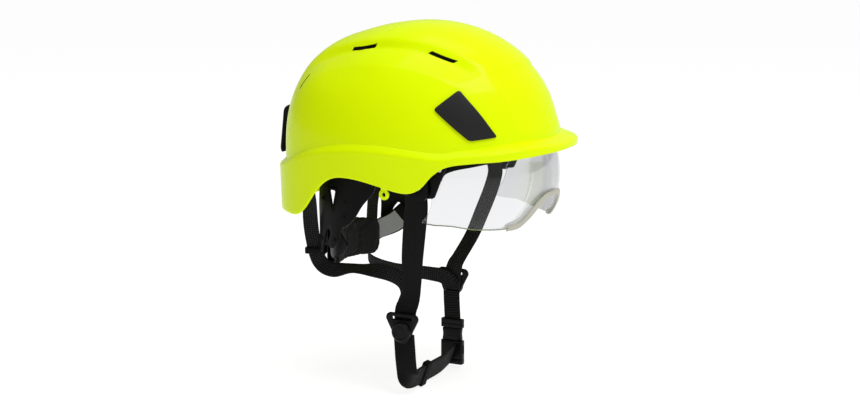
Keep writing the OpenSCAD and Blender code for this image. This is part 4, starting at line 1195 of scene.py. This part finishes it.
def make_straps():
    right_u = [(1, -0.1, 0.15)] * 5 + [(1, 0, 0.15)] * 5
    left_u = [(1, 0.1, 0.1)] * 5 + [(1, 0, 0.1)] * 5
    right_w = [24.5, 24.5, 24.5, 24.5, 23, 19.5, 19.5, 22.5, 21, 19]
    straps = [("front", "right", FRONT_RIGHT, right_u, right_w, PLAIN),
              ("front", "left", FRONT_LEFT, left_u, same(15.5, 7) + [17, 18.5, 19], DIAMOND),
              ("rear", "right", REAR_RIGHT, REAR_RIGHT_U, same(15, 8) + [16, 19, 20], DIAMOND),
              ("rear", "left", REAR_LEFT, REAR_LEFT_U, same(15, 7) + [17, 19], DIAMOND)]
    for end, tag, P, U, W, cloth in straps:
        parts = [ribbon(P, U, W, WEB_T, 1.5), tack(P, U, W, (0.035, 0.11))]
        piece(f"{end}_webbing_{tag}", parts, cloth, HELMET, f"{end}_strap_{tag}", 60)
    strip = ribbon(ADJUST, same((1, 0, 0), 4), same(18, 4), 1.6, 0.4, ribs)
    piece("adjuster_webbing", [strip], RIBBED, HELMET, "adjust_strap", 60)


def make_chin_band():
    W = same(CHIN_W, 10)
    parts = [ribbon(CHIN, CHIN_U, W, CHIN_T, 1.5, cells=14),
             selvedge(CHIN, CHIN_U, W, (0.02, 0.98), CHIN_T / 2)]
    chin = piece("chin_band", parts, PLAIN, None, "chin_strap", 60)
    metres((9, 20, -220.6))
    metres((4, 50, -219.6))
    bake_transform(chin)


def make_keeper():
    """Elastic loop round the chin strap, with raised rows round it."""
    turn = radians(KEEPER_TURN)
    u, v = (cos(turn), 0, -sin(turn)), (sin(turn), 0, cos(turn))
    loops = lambda outer, inner: [oblong(CHIN_T + grow, CHIN_W + grow, r) for grow, r in (outer, inner)]
    x, y, z = KEEPER_AT
    parts = [plate(loops((3.4, 1.6), (1.4, 0.8)), flat_at(KEEPER_AT, u, v, (0, 1, 0)), -5, 5, 0.4)]
    for k in (-3.6, -1.8, 0, 1.8, 3.6):
        row = plate(loops((3.8, 1.8), (3.2, 1.4)), flat_at((x, y + k, z), u, v, (0, 1, 0)), -0.45, 0.45, 0.12)
        parts.append(row)
    piece("keeper_loop", parts, PLAIN, KEEPER, "strap_keeper", 50)


def slider_outline():
    """Outline of a divider: two upper lobes and a larger lower one."""
    points = []
    for cx, cz, r, a0, a1 in ((12, 9, 5, -20, 90), (-12, 9, 5, 90, 200), (0, -8, 8, 215, 325)):
        for i in range(13):
            a = radians(mix(a0, a1, i / 12))
            points.append((cx + r * cos(a), cz + r * sin(a)))
    return points


def divider_plate(side):
    """Three-lobed plate with a slot for the straps and a raised bar above and below it."""
    x, z = SLIDER[side]
    half = SLIDER_T / 2
    where = upright(side * (SLIDER_IN + half), side, x, z)
    parts = [plate([slider_outline(), oblong(21, 3, 1.2, 0, 9, 4)], where, -half, half, 0.7)]
    for y in (12, 6):
        parts.append(plate([oblong(21, 1.1, 0.5, 0, y, 3)], where, half - 0.2, half + 0.35, 0.2))
    return parts


def divider_cap(side):
    """Round cap with a raised rim, and three marks on its face."""
    x, z = SLIDER[side]
    z, y = z - 4, SLIDER_IN + SLIDER_T + 0.1
    r, top = CAP_R, CAP_T
    face = [(r - 0.3, 0), (r, 0.3), (r, 2.2), (r - 0.5, 3.0), (r - 1.3, top), (r - 2.7, top),
            (r - 3.3, top - 0.2), (r - 3.7, top - 0.7), (4, top - 0.5), (0.02, top - 0.4)]
    parts = [lathe(face, (x, side * y, z), (0, side, 0), 72)]
    for turn in (90, 210, 330):
        c, s = cos(radians(turn)), sin(radians(turn))
        at = (x + 3.9 * c, side * (y + top - 0.45), z + 3.9 * s)
        parts.append(block(2.6, 1.0, 0.5, at, (-s, 0, c), (c, 0, s), 0.45, 0.15))
    return parts


def make_dividers():
    bodies = ("divider_right", "divider_left")
    pair("divider_plate", divider_plate, BUCKLE_MAT, bodies, "slider", 32)
    pair("divider_cap", divider_cap, BUCKLE_MAT, bodies, "slider_cap", 32)


BUCKLE_AT, BUCKLE_W = (3, 58), 24


def buckle_up(x, y, h):
    """A place given from above, at height h."""
    return Vector((BUCKLE_AT[0] + x, BUCKLE_AT[1] + y, h))


def male_parts():
    """Bar for the webbing, waist with grip ribs, centre guide and two prongs with barbs."""
    face = upright(BUCKLE_AT[1], 1, BUCKLE_AT[0])
    waist = [(-10.5, -193.5), (10.5, -193.5), (9.8, -200), (10.5, -206), (-10.5, -206), (-9.8, -200)]
    prong = [(4.7, -205.5), (8.3, -205.5), (8.5, -211), (9.6, -212.4), (9.4, -218), (8.2, -221.8),
             (5.2, -221.8), (4.7, -218)]
    parts = [plate([oblong(BUCKLE_W, 6, 1.6), oblong(19.6, 2.6, 0.8)], buckle_up, -188.6, -184, 0.5),
             plate([oblong(BUCKLE_W, 6, 1.6)], buckle_up, -193, -188.5, 0.5),
             plate([rounded(waist, 1.2)], face, -2.5, 2.5, 0.6)]
    parts += [plate([oblong(11, 1.0, 0.45, 0, z, 3)], face, -2.9, 2.9, 0.2) for z in (-197.2, -199.6, -202)]
    parts.append(plate([oblong(3, 17, 0.6, 0, -214, 3)], face, -1.5, 1.5, 0.3))
    for s in (-1, 1):
        parts.append(plate([rounded([(s * x, z) for x, z in prong], 0.7)], face, -1.5, 1.5, 0.3))
    return parts


def female_parts():
    """Hollow socket with a bar for the webbing below it and a raised frame on both faces."""
    outer = [(-5, -210.5), (5, -210.5), (6.5, -221.5), (-6.5, -221.5)]
    inner = [(-4.2, -211.3), (4.2, -211.3), (5.6, -220.7), (-5.6, -220.7)]
    socket = [oblong(BUCKLE_W, 7.4, 2.2), oblong(BUCKLE_W - 4, 3.8, 1)]
    parts = [plate(socket, buckle_up, -225.2, -206.4, 0.6), plate(socket[:1], buckle_up, -231, -225, 0.8)]
    for f in (-1, 1):
        frame_at = upright(BUCKLE_AT[1], f, BUCKLE_AT[0])
        parts.append(plate([rounded(outer, 1.5), rounded(inner, 1.2)], frame_at, 3.6, 4.0, 0.15))
    return parts


def side_window(s):
    """Cutter of one side window of the female part, where a prong's barb shows."""
    place = lambda a, b, h: Vector((BUCKLE_AT[0] + s * (11 + h), BUCKLE_AT[1] + b, a))
    return plate([oblong(9, 3.8, 1.2, -215.5, 0, 4)], place, -2, 2, 0.1)


def make_buckle():
    piece("buckle_prongs", male_parts(), BUCKLE_MAT, HELMET, "buckle_male", 32)
    o = piece("buckle_socket", female_parts(), BUCKLE_MAT, None)
    cut_out(o, [side_window(s) for s in (-1, 1)], 32)
    settle(o, BUCKLE, "buckle_female")


def front_lug(side):
    """Front strap anchor: a foot, a tab up the shell and a rivet."""
    x, y, z = 25, side * 88, -6
    fore, up = (1, 0, 0), (0, 0, 1)
    return [block(22, 16, 3, (x, y, z), fore, up, 3, 0.5),
            block(12, 6, 8, (x - 6, side * 93, -3), fore, up, 1.2, 0.4),
            lathe(domed(2.4, 1.1, 0.2), (x + 7.5, side * 89.5, -9), (0, side, 0), 24)]


def rear_lug(side):
    """Rear strap anchor: a plate turned to the shell's curve, with two rivets."""
    a = radians(side * 36)
    u, out = Vector((cos(a), sin(a), 0)), Vector((-sin(a), cos(a), 0)) * side
    at = Vector((-84, side * 81.6, -28))
    face = at + out * 1.25 + Vector((0, 0, 4.5))
    return [block(22, 16, 2.6, at, u, (0, 0, 1), 3, 0.5)] + [
        lathe(domed(2.2, 0.9, 0.2), face + u * k * 7.5, out, 24) for k in (-1, 1)]


def make_anchors():
    pair("front_lug", front_lug, BLACK, HELMET, "front_anchor")
    pair("rear_lug", rear_lug, BLACK, HELMET, "rear_anchor")


# ---- pads
SWEAT_T, SWEAT_HALF, PAD_GAP = 3.6, 58, 0.4
NAPE_PAD_T, NAPE_PAD_HALF, NAPE_PAD_SINK = 4.6, 44, 2.75
PAD_VOXEL, PAD_INSET, PAD_PUSH, PAD_MOST, PAD_FILL, PAD_FRAMES = 1.6, 0.4, 4.0, 0.9, 0.5, 20


def puff(o, quilt):
    """Blows a pad up as cloth, with its seams pinned; no vertex moves further than PAD_MOST."""
    before = [v.co.copy() for v in o.data.vertices]
    group = o.vertex_groups.new(name="seams")
    for v in o.data.vertices:
        if quilt(v.co / MM):
            group.add([v.index], 1.0, "REPLACE")
    cloth = o.modifiers.new("cloth", "CLOTH")
    s = cloth.settings
    s.use_pressure, s.uniform_pressure_force = True, PAD_PUSH
    s.mass, s.tension_stiffness, s.compression_stiffness, s.bending_stiffness = 0.2, 40, 40, 2
    s.shrink_min = -0.04
    s.vertex_group_mass = "seams"
    s.effector_weights.gravity = 0
    cloth.point_cache.frame_start, cloth.point_cache.frame_end = 1, PAD_FRAMES
    for f in range(1, PAD_FRAMES + 1):
        bpy.context.scene.frame_set(f)
    take(o)
    bpy.context.scene.frame_set(1)
    for v, p in zip(o.data.vertices, before):
        move = v.co - p
        if move.length > PAD_MOST * MM:
            v.co = p + move.normalized() * PAD_MOST * MM


def cushion(name, where, w, h, t, corner, quilt, replaced, body):
    """A thin pad blown up from a slightly smaller slab; quilt(p) tells whether p is on a pinned seam."""
    outline, half = oblong(w - 2 * PAD_INSET, h - 2 * PAD_INSET, corner), t / 2 - PAD_INSET
    o = piece(name, [plate([outline], where, -half, half, 0.5, 2.4)], PAD_MAT, None, replaced, 60)
    reshape(o.data, cut_large_faces)
    remesh = o.modifiers.new("remesh", "REMESH")
    remesh.mode, remesh.voxel_size = "VOXEL", PAD_VOXEL * MM
    take(o)
    puff(o, quilt)
    o.modifiers.new("smooth", "SUBSURF").levels = 1
    take(o)
    finish_mesh(o.data, 60)
    o.data.materials.clear()
    o.data.materials.append(PAD_MAT)
    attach(o, body)


def band_seam(p):
    """Seams across the sweatband, one every 14 degrees round the head."""
    a = degrees(atan2(p.y / BAND_W, p.x / BAND_FRONT))
    return min(a % 14, 14 - a % 14) < 0.7


def nape_seam(p):
    """Three upright seams of the nape pad: its middle and 20 degrees to either side."""
    a = abs(degrees(atan2(p.y, YOKE_C[0] - p.x)))
    return min(a, abs(a - 20)) < 0.8


def make_pads():
    behind = BAND_T / 2 + PAD_GAP + SWEAT_T / 2
    inner_band, w = lambda u, v, h: band_place(u, v, h - behind), 2 * SWEAT_HALF * BAND_SCALE
    cushion("sweatband_pad", inner_band, w, BAND_H + 4, SWEAT_T, 8, band_seam, "sweatband", HELMET)
    r = NAPE_IN - NAPE_PAD_SINK
    w = 2 * radians(NAPE_PAD_HALF) * r
    cushion("nape_cushion", nape_place(r), w, NAPE_H, NAPE_PAD_T, 11, nape_seam, "nape_pad", NAPE)


# ---- picture
AZ, EL, FAR, FOCAL, SENSOR = 26.0, 9.3, 1.8, 77.7, 36.0    # degrees, metres and millimetres
AIM_RIGHT, AIM_UP = 0.00485, -0.0558
LIGHT_AIM = Vector((0, 0, -0.05))
FLOOR_HALF, FLOOR_DROP, FLOOR_GREY, FLOOR_GLOW = 12, 0.0006, 0.35, 0.83
WORLD_DARK, WORLD_BRIGHT = 0.12, 0.55


def camera_axes():
    """Unit vectors of the picture: towards the camera, to its right and up."""
    a, e = radians(AZ), radians(EL)
    back = Vector((sin(a) * cos(e), -cos(a) * cos(e), sin(e)))
    right = Vector((cos(a), sin(a), 0))
    return back, right, back.cross(right)


def make_camera():
    back, right, up = camera_axes()
    data = bpy.data.cameras.new("view")
    data.lens, data.sensor_width, data.clip_end = FOCAL, SENSOR, 60
    cam = bpy.data.objects.new("view", data)
    bpy.context.scene.collection.objects.link(cam)
    eye, target = back * FAR, right * AIM_RIGHT + up * AIM_UP
    out = (eye - target).normalized()
    side = up.cross(out).normalized()
    cam.matrix_world = Matrix.Translation(eye) @ Matrix((side, out.cross(side), out)).transposed().to_4x4()
    bpy.context.scene.camera = cam
    return cam


def area_light(name, at, size, power):
    data = bpy.data.lights.new(name, "AREA")
    data.shape, data.size, data.size_y, data.energy = "RECTANGLE", size[0], size[1], power
    lamp = bpy.data.objects.new(name, data)
    lamp.location = at
    lamp.rotation_euler = (LIGHT_AIM - at).to_track_quat("-Z", "Y").to_euler()
    bpy.context.scene.collection.objects.link(lamp)
    return lamp


def make_floor():
    """Plain pale floor just under the lowest point of the CAD part."""
    low = min(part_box(n)[0][2] for n in NODES) - FLOOR_DROP
    s, grey = FLOOR_HALF, FLOOR_GREY
    mesh = bpy.data.meshes.new("floor")
    mesh.from_pydata([(-s, -s, low), (s, -s, low), (s, s, low), (-s, s, low)], [], [(0, 1, 2, 3)])
    floor = bpy.data.objects.new("floor", mesh)
    bpy.context.scene.collection.objects.link(floor)
    m, _, bsdf = new_material("floor_white")
    set_inputs(bsdf, Base_Color=(grey, grey, grey, 1), Roughness=0.9, Specular_IOR_Level=0.0,
               Emission_Color=(1, 1, 1, 1), Emission_Strength=FLOOR_GLOW)
    mesh.materials.append(m)
    return floor


def make_world(right):
    """Soft white surroundings, dim on the camera's left and bright on its right."""
    world = bpy.data.worlds.new("studio")
    bpy.context.scene.world = world
    world.use_nodes = True
    t = world.node_tree
    ground = t.nodes["Background"]
    ground.inputs["Color"].default_value = (1, 1, 1, 1)
    towards = node(t, "VectorMath", {"operation": "DOT_PRODUCT"})
    t.links.new(node(t, "TexCoord").outputs["Generated"], towards.inputs[0])
    towards.inputs[1].default_value = right
    strength = ramp(t, towards.outputs["Value"], -0.9, 0.3, WORLD_DARK, WORLD_BRIGHT)
    t.links.new(strength, ground.inputs["Strength"])


def make_light():
    back, right, up = camera_axes()
    make_world(right)
    return [area_light("key", back * 0.9 + right * 0.5 + up * 1.25, (0.8, 0.8), 14),
            area_light("top", back * 0.2 - right * 0.1 + up * 1.6, (1.4, 0.9), 7)]


def build():
    make_shell()
    make_shell_fittings()
    make_visor()
    make_headband()
    make_harness()
    make_band_arms()
    make_nape()
    make_anchors()
    make_straps()
    make_chin_band()
    make_keeper()
    make_dividers()
    make_buckle()
    make_pads()
    make_camera()
    make_floor()
    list(make_light())
    bpy.context.scene.view_settings.view_transform = "Standard"


build()
